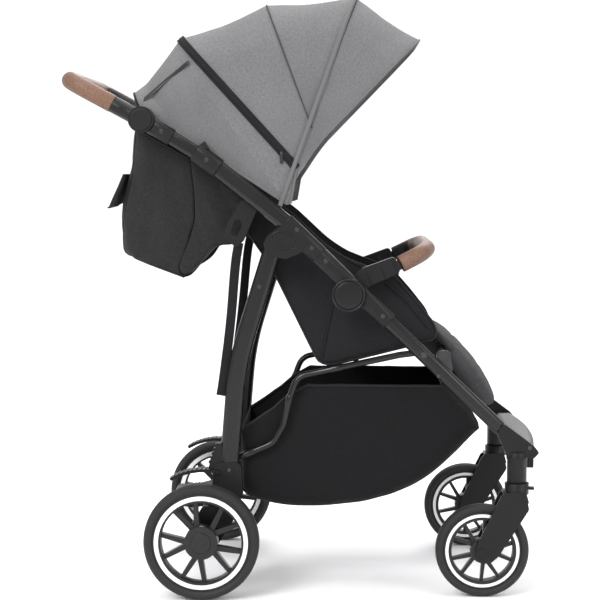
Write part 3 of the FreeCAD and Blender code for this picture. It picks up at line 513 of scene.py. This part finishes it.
for tag, side in SIDES:
    # A dark strip on each side of the rear panel: the rolled flap edge of the window, with its shadow painted as
    # dark colour
    flap_edge_line = resample([(-222, 1060), (-270, 1023), (-318, 981)], 24)
    wide = [on_cloth(rear_rows, x, z, side)[1] for x, z in flap_edge_line]
    wide = np.polyval(np.polyfit(np.arange(24), wide, 2), np.arange(24))
    flap_edge_line = np.stack([flap_edge_line[:, 0], wide, flap_edge_line[:, 1]], axis=1)
    made = strap("hood_flap_edge_shadow_" + tag, lifted(flap_edge_line, 2.0), outward(flap_edge_line), 9, 2.4, "flap_edge_shadow")
    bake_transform(made)
    low_end = 6 if side > 0 else -7
    puller = [zip_line[low_end] + zip_out[low_end] * 3 + np.array([0, 0, -d]) for d in (0.0, 6.0, 14.0, 24.0)]
    strap("hood_zip_puller_" + tag, puller, (0, side, 0), 6, 1.6, "zip_teeth", "hood_rear")
for tag, column in (("left", 0), ("right", -1)):
    made = pipe("hood_lower_binding_" + tag, rear_rows[:, column], 2.4, "hood_fabric")
    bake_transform(made)


# ---------------------------------------------------------------- cushions

def crowned(name, origin, along, up, span, half, rise, crown, material, body, grooves=(), seed=1.0, rolls=(),
            path=None, belly=(0, 1, 0)):
    """A padded slab: rounded outline, swelling faces, stitched grooves along and across. Lengths in millimetres.

    span is its start and end along its length, and rise the heights of its lower and upper face. A groove is its
    direction, place, width and depth, a roll its distance from the middle, width and height. path bends the slab
    along X, Z and the direction of its face, and belly is where it hangs down, from, to and how far.
    """
    n, m = 70, 56
    belly_start, belly_end, belly_depth = belly
    along, up = np.asarray(along, float), np.asarray(up, float)
    origin = np.asarray(origin, float)
    middle, reach = (span[0] + span[1]) / 2, (span[1] - span[0]) / 2
    rows_top, rows_low = [], []
    for i in range(n + 1):
        a = -1 + 2 * i / n
        top_row, low_row = [], []
        for j in range(m + 1):
            b = -1 + 2 * j / m
            shrink = 1 - PAD_CORNER * (abs(a) ** 5.0) * (abs(b) ** 5.0)
            s, y = middle + a * reach * shrink, b * half * shrink
            rim = (1 - abs(a) ** 7) * (1 - abs(b) ** 7)
            fall = max(0.0, rim) ** 0.42
            swell = crown * (1 - a * a) ** 0.5 * (1 - b * b) ** 0.5
            dent = 0.0
            for kind, at, width, depth in grooves:
                offset = (y if kind == "y" else s) - at
                if kind == "|y|":
                    offset = abs(y) - at
                dent += depth * math.exp(-(offset / width) ** 2)
            for at, width, tall in rolls:
                dent -= tall * math.exp(-((abs(y) - at) / width) ** 2)
            p = origin + along * s + np.array([0, y, 0])
            ripple = wrinkle(p, 0.02, 1.6, seed) + wrinkle(p, 0.06, 0.5, seed + 9)
            low, high = rise
            share = min(1, max(0, (s - belly_start) / (belly_end - belly_start)))
            low -= belly_depth * max(0.0, math.sin(math.pi * share)) ** 0.6
            mid = low + (high - low) * 0.42
            z_top = mid + (high - mid + swell - dent + ripple) * fall
            z_low = mid - (mid - low) * fall
            if path is not None:
                k = (s - span[0]) / (span[1] - span[0]) * (len(path) - 1)
                here = [np.interp(k, np.arange(len(path)), path[:, c]) for c in range(4)]
                p, up = np.array([here[0], y, here[1]]), np.array([here[2], 0, here[3]])
            top_row.append(p + up * z_top)
            low_row.append(p + up * z_low)
        rows_top.append(top_row)
        rows_low.append(low_row)
    top, low = np.array(rows_top), np.array(rows_low)
    count = (n + 1) * (m + 1)
    faces = grid_faces(n + 1, m + 1)
    under = [tuple(i + count for i in reversed(f)) for f in faces]
    verts = np.concatenate([top.reshape(-1, 3), low.reshape(-1, 3)])
    uv = np.array([[(-half + 2 * half * j / m, span[0] + (span[1] - span[0]) * i / n) for j in range(m + 1)]
                   for i in range(n + 1)]).reshape(-1, 2)
    made = add_mesh(name, verts, faces + under, material, None, np.concatenate([uv, uv]))
    weld = made.modifiers.new("weld", "WELD")
    weld.merge_threshold = 0.00005
    bake(made)
    if np.dot(np.cross(along, (0, 1, 0)), up) < 0:
        made.data.flip_normals()
    if isinstance(body, str):
        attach(made, body)
    else:
        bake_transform(made)
    return made, top


HINGE = np.array([60.0, 0.0, 458.0])
BACK = np.array([math.cos(math.radians(120)), 0, math.sin(math.radians(120))])
BACK_FRONT = np.array([math.sin(math.radians(120)), 0, -math.cos(math.radians(120))])
BASE_START = np.array([63.0, 0.0, 458.0])
BASE = np.array([215.0, 0.0, 57.0])
BASE /= np.linalg.norm(BASE)
BASE_UP = np.array([-BASE[2], 0, BASE[0]])
PAD_HALF = 151
PAD_CORNER = 0.16

back_pad, back_top = crowned("seat_back_cushion", HINGE, BACK, BACK_FRONT, (34, 452), PAD_HALF, (5, 32), 8,
                             "seat_fabric", "seat_back",
                             grooves=(("|y|", 96, 4.5, 8), ("s", 150, 4.5, 7), ("s", 300, 4.5, 7)),
                             rolls=((124, 18, 7),))
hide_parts("seat_back_pad")
base_pad, base_top = crowned("seat_base_cushion", BASE_START, BASE, BASE_UP, (28, 206), PAD_HALF, (9, 33), 5,
                             "seat_fabric", "front_frame",
                             grooves=(("|y|", 96, 4.5, 8), ("s", 150, 4.5, 6)), rolls=((124, 18, 6),), seed=4.0)
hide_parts("seat_base_pad")

leg_line = [(270, 534), (298, 513), (323, 491), (346, 466), (366, 443), (387, 408), (401, 382), (404, 366)]
leg_line = resample(smooth_line(leg_line, 2), 60)
leg_dir = tangents(leg_line)
leg_path = np.concatenate([leg_line, np.stack([-leg_dir[:, 1], leg_dir[:, 0]], axis=1)], axis=1)
leg_pad, _ = crowned("leg_rest_cushion", (270, 0, 534), (1, 0, 0), (0, 0, 1), (0, 222), PAD_HALF, (-24, -2), 3,
                     "leg_fabric", ("front_frame", "leg_rest", (0.276, 0, 0.522), (0.318, 0, 0.480)),
                     grooves=(("s", 62, 4.5, 4), ("s", 140, 4.5, 4), ("|y|", 110, 4.5, 3)), seed=6.0,
                     path=leg_path, belly=(62, 226, 26))
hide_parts("leg_rest")


# ---------------------------------------------------------------- seat sides

PANEL = 170.0
SIDE = [(34, 461), (58, 454), (276, 509), (266, 540), (228, 588), (187, 634), (127, 655), (87, 671), (47, 698),
        (-19, 760), (-120, 835), (-186, 884), (-206, 862), (-62, 656)]
SIDE_SEAMS = [((66, 592), (41, 470)), ((-150, 818), (-30, 700)), ((150, 640), (258, 528))]
SIDE_CORDS = [[(66, 592), (52, 530), (41, 472)], [(92, 668), (150, 640), (212, 586), (258, 528)]]


def filled(outline, spacing):
    """Points and triangles of a flat outline filled evenly, and the outline's own points."""
    outline = np.asarray(outline, float)
    girth = np.linalg.norm(np.diff(np.concatenate([outline, outline[:1]]), axis=0), axis=1).sum()
    ring = resample(smooth_line(resample(outline, int(girth / 20), True), 2, True), int(girth / spacing), True)
    low, high = ring.min(0), ring.max(0)
    inner = []
    corners = ring.tolist()
    for x in np.arange(low[0], high[0], spacing):
        for z in np.arange(low[1], high[1], spacing):
            if inside((x, z), corners) and np.min(np.linalg.norm(ring - (x, z), axis=1)) > spacing * 0.6:
                inner.append((x, z))
    points = [Vector(p) for p in corners + inner]
    count = len(corners)
    verts, _, faces, *_ = delaunay_2d_cdt(points, [(i, (i + 1) % count) for i in range(count)], [], 1, 1e-6)
    return np.array([tuple(v) for v in verts]), faces, ring


def inside(p, ring):
    """Whether a point lies inside a closed line."""
    hit = False
    for (x1, z1), (x2, z2) in zip(ring, ring[1:] + ring[:1]):
        if (z1 > p[1]) != (z2 > p[1]) and p[0] < (x2 - x1) * (p[1] - z1) / (z2 - z1) + x1:
            hit = not hit
    return hit


def segment_distance(p, a, b):
    """How far points lie from the segment between a and b."""
    a, b = np.asarray(a, float), np.asarray(b, float)
    t = np.clip(((p - a) @ (b - a)) / ((b - a) @ (b - a)), 0, 1)
    return np.linalg.norm(p - (a + np.outer(t, b - a)), axis=1)


def closed_cloth(name, flat, faces, outer, inner, material):
    """A mesh with two faces on the same flat triangles and a rim between them."""
    count = len(flat)
    every = [tuple(f) for f in faces] + [tuple(i + count for i in reversed(f)) for f in faces]
    every += [(a, a + count, b + count, b) for a, b in boundary(faces)]
    made = add_mesh(name, np.concatenate([outer, inner]), every, material, None, np.concatenate([flat, flat]))
    fix_normals(made)
    return made


def padded_side(tag, side):
    """One padded side wall of the seat with a stitched seam, reaching across the knee."""
    flat, faces, ring = filled(SIDE, 9.0)
    edge = np.min([segment_distance(flat, a, b) for a, b in zip(ring, np.roll(ring, -1, axis=0))], axis=0)
    puff = 5.0 * (1 - np.exp(-edge / 16.0))
    for a, b in SIDE_SEAMS:
        puff -= 3.4 * np.exp(-(segment_distance(flat, a, b) / 5.0) ** 2)
    for i, (x, z) in enumerate(flat):
        ripple = wrinkle((x, 0, z), 0.018, 2.6, 2.0) + wrinkle((x * 0.6, 0, z), 0.05, 0.9, 4.0)
        puff[i] += ripple * min(1, edge[i] / 12)
    outer = np.stack([flat[:, 0], side * (PANEL + 0.6 + np.maximum(puff, 0.1)), flat[:, 1]], axis=1)
    inner = np.stack([flat[:, 0], side * (PANEL - 0.6 - np.maximum(puff, 0.1) * 0.6), flat[:, 1]], axis=1)
    name = "seat_side_" + tag
    made = closed_cloth(name, flat, faces, outer, inner, "seat_fabric")
    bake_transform(made)
    loop = np.stack([ring[:, 0], np.full(len(ring), side * (PANEL + 0.5)), ring[:, 1]], axis=1)
    loop = np.concatenate([loop, loop[:1]])
    piping = pipe(name + "_binding", loop, 2.6, "piping", sides=8)
    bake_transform(piping)
    return made


def boundary(faces):
    """Directed edges used by one face only."""
    used = {}
    for f in faces:
        for a, b in zip(f, list(f[1:]) + [f[0]]):
            used[(a, b)] = used.get((a, b), 0) + 1
    return [(a, b) for (a, b) in used if (b, a) not in used]


def fix_normals(made):
    """Turns all faces outwards."""
    work = bmesh.new()
    work.from_mesh(made.data)
    bmesh.ops.recalc_face_normals(work, faces=work.faces)
    work.to_mesh(made.data)
    work.free()


def side_cords(tag, side):
    """The raised seams on the outer face of one side wall."""
    for index, line in enumerate(SIDE_CORDS):
        points = resample(smooth_line(line, 2), 24)
        points = np.stack([points[:, 0], np.full(24, side * (PANEL + 4.6)), points[:, 1]], axis=1)
        made = pipe("seat_side_seam_%s_%d" % (tag, index), points, 1.5, "piping", sides=6)
        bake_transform(made)


walls = [padded_side(tag, side) for tag, side in SIDES]
for tag, side in SIDES:
    side_cords(tag, side)
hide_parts("seat_side_panels")


# ---------------------------------------------------------------- basket

BASKET_LOW = [(-122, 322), (-122, 200), (-120, 190), (-98, 177), (-23, 162), (78, 165), (159, 179), (239, 211),
              (300, 262), (350, 316), (363, 324), (358, 336), (338, 366), (286, 412)]
BASKET_TOP = [(-122, 322), (-90, 344), (-55, 368), (-25, 396), (10, 414), (286, 412)]
BASKET_HALF = 172.0
BASKET_MIDDLE = np.array([60.0, 0.0, 330.0])
BASKET_ROWS = 74


def basket():
    """A fabric tub hung between the rear legs and the front legs."""
    low = resample(smooth_line(BASKET_LOW, 3), BASKET_ROWS)
    top = resample(BASKET_TOP, BASKET_ROWS)
    rows = []
    for i, (q, r) in enumerate(zip(low, top)):
        depth = np.linalg.norm(r - q)
        radius = min(26.0, depth * 0.45)
        toward = (r - q) / max(depth, 1e-6)
        row = []
        for d in np.linspace(depth, radius, 16):
            bulge = 6.0 * math.sin(math.pi * min(1, d / max(depth, 1))) - 4.0
            row.append((BASKET_HALF + bulge * 0.5, d))
        inner = BASKET_HALF - 2 - radius
        for turn in np.linspace(0, math.pi / 2, 8)[1:]:
            row.append((inner + radius * math.cos(turn), radius - radius * math.sin(turn)))
        row += [(y, 0.0) for y in np.linspace(inner, 0, 14)[1:]]
        row = row + [(-y, d) for y, d in reversed(row[:-1])]
        calm = math.sin(math.pi * i / (BASKET_ROWS - 1)) ** 0.5
        points = []
        for y, d in row:
            p = np.array([q[0] + toward[0] * d, y, q[1] + toward[1] * d])
            inward = BASKET_MIDDLE - p
            inward /= np.linalg.norm(inward)
            fold = abs(wrinkle(p, 0.016, 6.0, 3.0)) + abs(wrinkle(p, 0.04, 2.0, 8.0))
            points.append(p + inward * fold * (0.25 if d < 1 else 1.0) * calm)
        rows.append(points)
    rows = np.array(rows)
    made = surface("basket_fabric", rows, "bag_fabric", thick=CLOTH)
    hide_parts("basket")
    rim = np.concatenate([rows[:, 0], rows[::-1, -1]])
    pieces = [made, pipe("basket_rim_binding", rim, 3.2, "piping", sides=8)]
    for tag, column in (("left", 22), ("right", -23)):
        pieces.append(pipe("basket_seam_" + tag, rows[2:-2, column], 1.6, "piping", sides=6))
    for piece in pieces:
        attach(piece, "rear_frame")
        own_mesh(piece)


basket()


# ---------------------------------------------------------------- rear pocket

POCKET_BACK = [(-344, 938), (-349, 876), (-356, 834), (-370, 780), (-373, 720), (-373, 696), (-371, 685),
               (-362, 680), (-350, 676)]
POCKET_FRONT = [(-225, 870), (-219, 840), (-214, 800), (-214, 748), (-228, 700), (-248, 652), (-246, 642),
                (-238, 633)]
POCKET_HALF = 186.0
POCKET_CORNER = 30.0
POCKET_DEPTH = 122
POCKET_ROWS = 40


def pocket():
    """The cloth behind the seat that hangs from the upper tubes, open towards the seat, with its base."""
    back = resample(smooth_line(POCKET_BACK, 2), POCKET_ROWS)
    front = resample(smooth_line(POCKET_FRONT, 2), POCKET_ROWS)
    outline = [(POCKET_HALF, 1.0), (POCKET_HALF, POCKET_CORNER / POCKET_DEPTH), (POCKET_HALF - POCKET_CORNER, 0)]
    outline += [(-y, share) for y, share in reversed(outline)]
    shape = np.array([(y, share * POCKET_DEPTH) for y, share in outline])
    shape = resample(smooth_line(shape, 2), 90)
    rows = []
    for i, (a, b) in enumerate(zip(back, front)):
        v = i / (POCKET_ROWS - 1)
        narrow = 3 * math.sin(math.pi * v) + 6 * max(0, v - 0.85) / 0.15
        row = []
        for y, depth in shape:
            t = depth / POCKET_DEPTH
            p = np.array([a[0] * (1 - t) + b[0] * t, y * (1 - narrow / POCKET_HALF), a[1] * (1 - t) + b[1] * t])
            out = np.array([(t - 0.5) * 1.4, y / POCKET_HALF, 0.0])
            out /= max(np.linalg.norm(out), 1e-6)
            ripple = wrinkle((p[0], p[1], p[2] * 0.4), 0.026, 8.5, 5.0)
            ripple += wrinkle((p[0], p[1], p[2] * 0.6), 0.06, 2.6, 1.0)
            row.append(p + out * (ripple * 0.9 * min(1, v * 6)))
        rows.append(row)
    rows = np.array(rows)
    made = surface("rear_pocket_fabric", rows, "pocket_fabric", "upper_frame", thick=CLOTH, flip=True)
    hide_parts("rear_pocket")
    cloth(rows)
    base = []
    for a, b in zip(rows[-1][:45], rows[-1][::-1]):
        across = np.linspace(0, 1, 40)
        base.append([a * (1 - t) + b * t + np.array([0, 0, -5 * math.sin(math.pi * t)]) for t in across])
    surface("rear_pocket_base", base, "pocket_fabric", "upper_frame", thick=CLOTH)
    pipe("rear_pocket_binding", rows[0], 3.0, "piping", "upper_frame", sides=8)
    pipe("rear_pocket_base_seam", rows[-1], 1.8, "piping", "upper_frame", sides=6)
    corner = int(np.argmin(np.abs(shape[:, 1] - 10) + (shape[:, 0] < 0) * 999))
    for tag, column in (("left", corner), ("right", len(shape) - 1 - corner)):
        pipe("rear_pocket_seam_" + tag, rows[1:-1, column], 1.8, "piping", "upper_frame", sides=6)
    hem = resample(rear_rows[0], 60)
    edge = resample(rows[0][shape[:, 1] < 24], 60)
    bridge = []
    for t in np.linspace(0, 1, 10):
        bridge.append(hem * (1 - t) + edge * t + np.array([3.0 * math.sin(math.pi * t), 0, 0]))
    made = surface("rear_upper_panel", bridge, "pocket_fabric", "upper_frame", thick=THIN_CLOTH)
    cloth(bridge)


def pocket_flap():
    """The flap over the back of the pocket, with its hem."""
    half = 178
    rows = []
    for t in np.linspace(0, 1, 22):
        z = 840 - 64 * t
        row = []
        for y in np.linspace(-half, half, 60):
            share = abs(y) / half
            x = -359 - 20 * t - 11 * t * share ** 3 + wrinkle((0, y, z), 0.02, 4, 3) * t
            row.append((x, y, z + 4 * math.cos(share * math.pi) * t))
        rows.append(row)
    flap = surface("rear_pocket_flap", rows, "pocket_fabric", "upper_frame", thick=1.8)
    cloth(rows)
    hem = np.array(rows[-1]) + (-0.5, 0, 0.5)
    pipe("rear_pocket_flap_hem", hem, 1.7, "piping", "upper_frame", sides=6)


GUSSET = [(-226, 888), (-190, 866), (-150, 838), (-110, 806), (-98, 780), (-106, 718), (-130, 699), (-180, 697),
          (-206, 657), (-238, 634), (-248, 652), (-228, 700), (-214, 748), (-214, 800), (-219, 842)]
# Both ends of each fold, how far in it goes and its width
GUSSET_FOLDS = (((-228, 780), (-200, 706), 4.5, 9.0), ((-214, 840), (-150, 716), -3.5, 12.0),
                ((-190, 862), (-116, 730), 4.0, 10.0))


def gusset(tag, side):
    """The slack cloth beside the seat back, from the pocket to the recline guide, with deep folds."""
    flat, faces, _ = filled(GUSSET, 7.0)
    x, z = flat[:, 0], flat[:, 1]
    bend = np.zeros(len(flat))
    for a, b, size, width in GUSSET_FOLDS:
        bend += size * np.exp(-(segment_distance(flat, a, b) / width) ** 2)
    ripple = np.array([wrinkle((a, 0, b), 0.024, 2.5, 11.0) for a, b in flat])
    y = POCKET_HALF - bend + ripple
    outer, inner = np.stack([x, side * y, z], axis=1), np.stack([x, side * (y - THIN_CLOTH), z], axis=1)
    made = closed_cloth("seat_gusset_" + tag, flat, faces, outer, inner, "pocket_fabric")
    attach(made, "upper_frame")


def sling():
    """The cloth under the seat back."""
    line = [(-243, 636), (-232, 641), (-204, 676), (-182, 698), (-146, 702), (-130, 722)]
    rows = []
    for x, z in resample(smooth_line(line, 2), 24):
        across = np.linspace(-174, 174, 40)
        rows.append([(x, y, z - 6 * (1 - (y / 172) ** 2) + wrinkle((x, y, z), 0.02, 4, 2)) for y in across])
    made = surface("seat_back_sling", rows, "bag_fabric", "upper_frame", thick=THIN_CLOTH)
    cloth(rows)
    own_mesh(made)


pocket()
pocket_flap()
for tag, side in SIDES:
    gusset(tag, side)
sling()


# ---------------------------------------------------------------- harness

def on_pad(top, origin, along, up, s, y, lift):
    """A point just above a cushion's top."""
    flat = top.reshape(-1, 3)
    target = origin + along * s + np.array([0, y, 0])
    offset = flat - target
    offset = offset - np.outer(offset @ up, up)
    near = np.argmin(np.linalg.norm(offset, axis=1))
    height = (flat[near] - origin) @ up
    return target + up * (height + lift)


def back_point(s, y, lift):
    return on_pad(back_top, HINGE, BACK, BACK_FRONT, s, y, lift)


def base_point(s, y, lift):
    return on_pad(base_top, BASE_START, BASE, BASE_UP, s, y, lift)


# Place along the back, distance from the middle and height above the cushion
SHOULDER_LINE = ((344, 38, -6), (336, 38, 3), (250, 40, 3.5), (160, 48, 4), (100, 66, 4), (66, 78, 3))
SHOULDER_PAD = ((318, 38, 6), (260, 40, 6), (210, 43, 6), (170, 47, 6))
WEBBING = (25, 1.8, "webbing")

for tag, side in SIDES:
    line, pad_line = (smooth_line([back_point(s, y * side, lift) for s, y, lift in run], 2)
                      for run in (SHOULDER_LINE, SHOULDER_PAD))
    strap("shoulder_strap_" + tag, line, BACK_FRONT, *WEBBING, "seat_back")
    pad = strap("shoulder_pad_" + tag, pad_line, BACK_FRONT, 44, 9, "seat_fabric", "seat_back")
    round_off = pad.modifiers.new("round", "BEVEL")
    round_off.width, round_off.segments = 0.003, 3
    hip = smooth_line([back_point(60, 92 * side, 2), base_point(46, 84 * side, 3), base_point(70, 60 * side, 6),
                       BASE_START + BASE * 98 + BASE_UP * 48 + np.array([0, 22 * side, 0])], 2)
    strap("waist_strap_" + tag, hip, BASE_UP, *WEBBING, "front_frame")
crotch = smooth_line([base_point(176, 0, -4), base_point(168, 0, 2.5), base_point(146, 0, 4),
                      BASE_START + BASE * 128 + BASE_UP * 47], 2)
strap("crotch_strap", crotch, BASE_UP, *WEBBING, "front_frame")


# ---------------------------------------------------------------- covers and trim

KNEE = (94, 602)
LEAF = (-32.5, 710)
BUMPER_SEAMS = ((135, 635, 1.0), (163, 645, 1.0), (187, 656, 1.5))


def round_face(name, centre, y, radius, side, material, body):
    """A slightly domed disc that faces out to one side."""
    (x, z), count = centre, 48
    verts = [(x, side * (y + 1.2), z)]
    faces = []
    for share, out in ((0.5, 1.0), (0.85, 0.7), (0.97, 0.35), (1.0, 0.0)):
        for k in range(count):
            turn = 2 * math.pi * k / count
            reach = radius * share
            verts.append((x + reach * math.cos(turn), side * (y + out), z + reach * math.sin(turn)))
    for k in range(count):
        m = (k + 1) % count
        faces.append((0, 1 + m, 1 + k))
        for ring in range(3):
            a = 1 + ring * count
            faces.append((a + k, a + m, a + count + m, a + count + k))
    if side < 0:
        faces = [tuple(reversed(f)) for f in faces]
    add_mesh(name, verts, faces, material, body, uvs=np.zeros((len(verts), 2)))


def loop_points(centre, y, side, major, minor, turn=0.0):
    """An ellipse in a plane that faces out to one side."""
    (x, z), cos, sin = centre, math.cos(turn), math.sin(turn)
    points = []
    for t in np.linspace(0, 2 * math.pi, 61):
        a, b = major * math.cos(t), minor * math.sin(t)
        points.append((x + a * cos - b * sin, side * y, z + a * sin + b * cos))
    return points


def sleeve_band(name, x, z, side, thick):
    """A stitched edge round one arm of the bumper bar."""
    along = np.array([55.0, 0.0, 24.0]) / math.hypot(55, 24)
    up = np.array([-along[2], 0, along[0]])
    middle = np.array([x, side * 207.0, z])
    outline = ((16, 8), (16, -8), (12, -11.4), (-12, -11.4), (-16, -8), (-16, 8), (-12, 11.4), (12, 11.4))
    ring = [middle + up * a + np.array([0, b, 0]) for a, b in outline]
    ring = resample(smooth_line(ring, 2, True), 40, True)
    pipe(name, np.concatenate([ring, ring[:1]]), thick, "piping", "bumper_bar", sides=6)


def step_pad():
    """The ribbed rubber top of the step."""
    half, back = 208, 430
    rows = []
    for y in np.linspace(-half, half, 105):
        nose = 455.0 + 15.0 * (1 - (y / 226) ** 2)
        row = []
        for t in np.linspace(0, 1, 30):
            x = back + (nose - back) * t
            fall = min(1.0, min(t, 1 - t) * 12, (half - abs(y)) / 6)
            rib = 0.5 * math.cos(t * math.pi * 14) if 0.12 < t < 0.88 else 0.0
            row.append((x, y, 303.6 + (2.4 + rib) * max(0.0, fall) ** 0.5))
        rows.append(row)
    surface("step_pad", rows, "step_rubber", "front_frame")


for tag, side in SIDES:
    round_face("knee_face_" + tag, KNEE, 257.3, 26.0, side, "hub_face", "upper_frame")
    rim = loop_points(KNEE, 257.0, side, 31.0, 31.0)
    pipe("knee_rim_" + tag, rim, 1.3, "frame_metal", "upper_frame", sides=8)
    rim = loop_points(LEAF, 254.2, side, 26.8, 15.8, math.radians(-20))
    pipe("leaf_rim_" + tag, rim, 1.0, "frame_metal", "upper_frame", sides=8)
    for index, (x, z, thick) in enumerate(BUMPER_SEAMS):
        sleeve_band("bumper_seam_%s_%d" % (tag, index), x, z, side, thick)
step_pad()


# ---------------------------------------------------------------- straps behind the seat

RECLINE_LINE = ((-124, 221, 704), (-132, 214, 660), (-141, 204, 546), (-157, 202, 425), (-162, 202, 396))

for tag, side in SIDES:
    line = smooth_line([(x, side * y, z) for x, y, z in RECLINE_LINE], 2)
    strap("recline_strap_" + tag, line, (0, side, 0), 19, 1.6, "webbing", "rear_frame")


# ---------------------------------------------------------------- stage

def area_light(name, place, height, size, power):
    """A square light that looks at a point on the Z axis. Lengths in metres."""
    data = bpy.data.lights.new(name, "AREA")
    data.energy = power
    data.size = size
    made = bpy.data.objects.new(name, data)
    bpy.context.scene.collection.objects.link(made)
    made.location = place
    made.rotation_euler = (Vector((0, 0, height)) - Vector(place)).to_track_quat("-Z", "Y").to_euler()


def backdrop():
    """A pale floor that curves up into a wall."""
    bend, radius = 3500, 2500
    line = [(y, 0.0) for y in np.linspace(-9000, bend, 12)]
    for turn in np.linspace(0, math.pi / 2, 16)[1:]:
        line.append((bend + radius * math.sin(turn), radius - radius * math.cos(turn)))
    line.append((6000.0, 9000.0))
    rows = [[(x, y, z) for x in (-12000.0, 12000.0)] for y, z in line]
    floor = surface("floor", rows, "floor")


MATS["floor"] = shader("floor", (0.92, 0.92, 0.93), 0.75, grain=40, bump=0.02, spread=0.01, rough_spread=0.05)
backdrop()
area_light("key", (-2.2, -3.6, 3.2), 0.6, 2.0, 190)
area_light("fill", (3.4, -2.8, 2.2), 0.6, 2.8, 85)
area_light("rim", (0.6, 3.4, 3.2), 0.8, 2.4, 90)
area_light("top", (0, 0.2, 4.2), 0.5, 3.0, 90)

world = bpy.data.worlds.new("studio")
world.use_nodes = True
background = world.node_tree.nodes["Background"]
background.inputs["Color"].default_value = (1, 1, 1, 1)
background.inputs["Strength"].default_value = 0.75
bpy.context.scene.world = world
bpy.context.scene.view_settings.view_transform = "Standard"

camera_data = bpy.data.cameras.new("camera")
camera_data.lens = 104.1
camera_data.sensor_width = 36.0
camera = bpy.data.objects.new("camera", camera_data)
bpy.context.scene.collection.objects.link(camera)
camera.location = (0.084, -3.6616, 0.846)
camera.rotation_euler = Euler((math.pi / 2 - 0.0742, 0.0, 0.0251), "XYZ")
bpy.context.scene.camera = camera
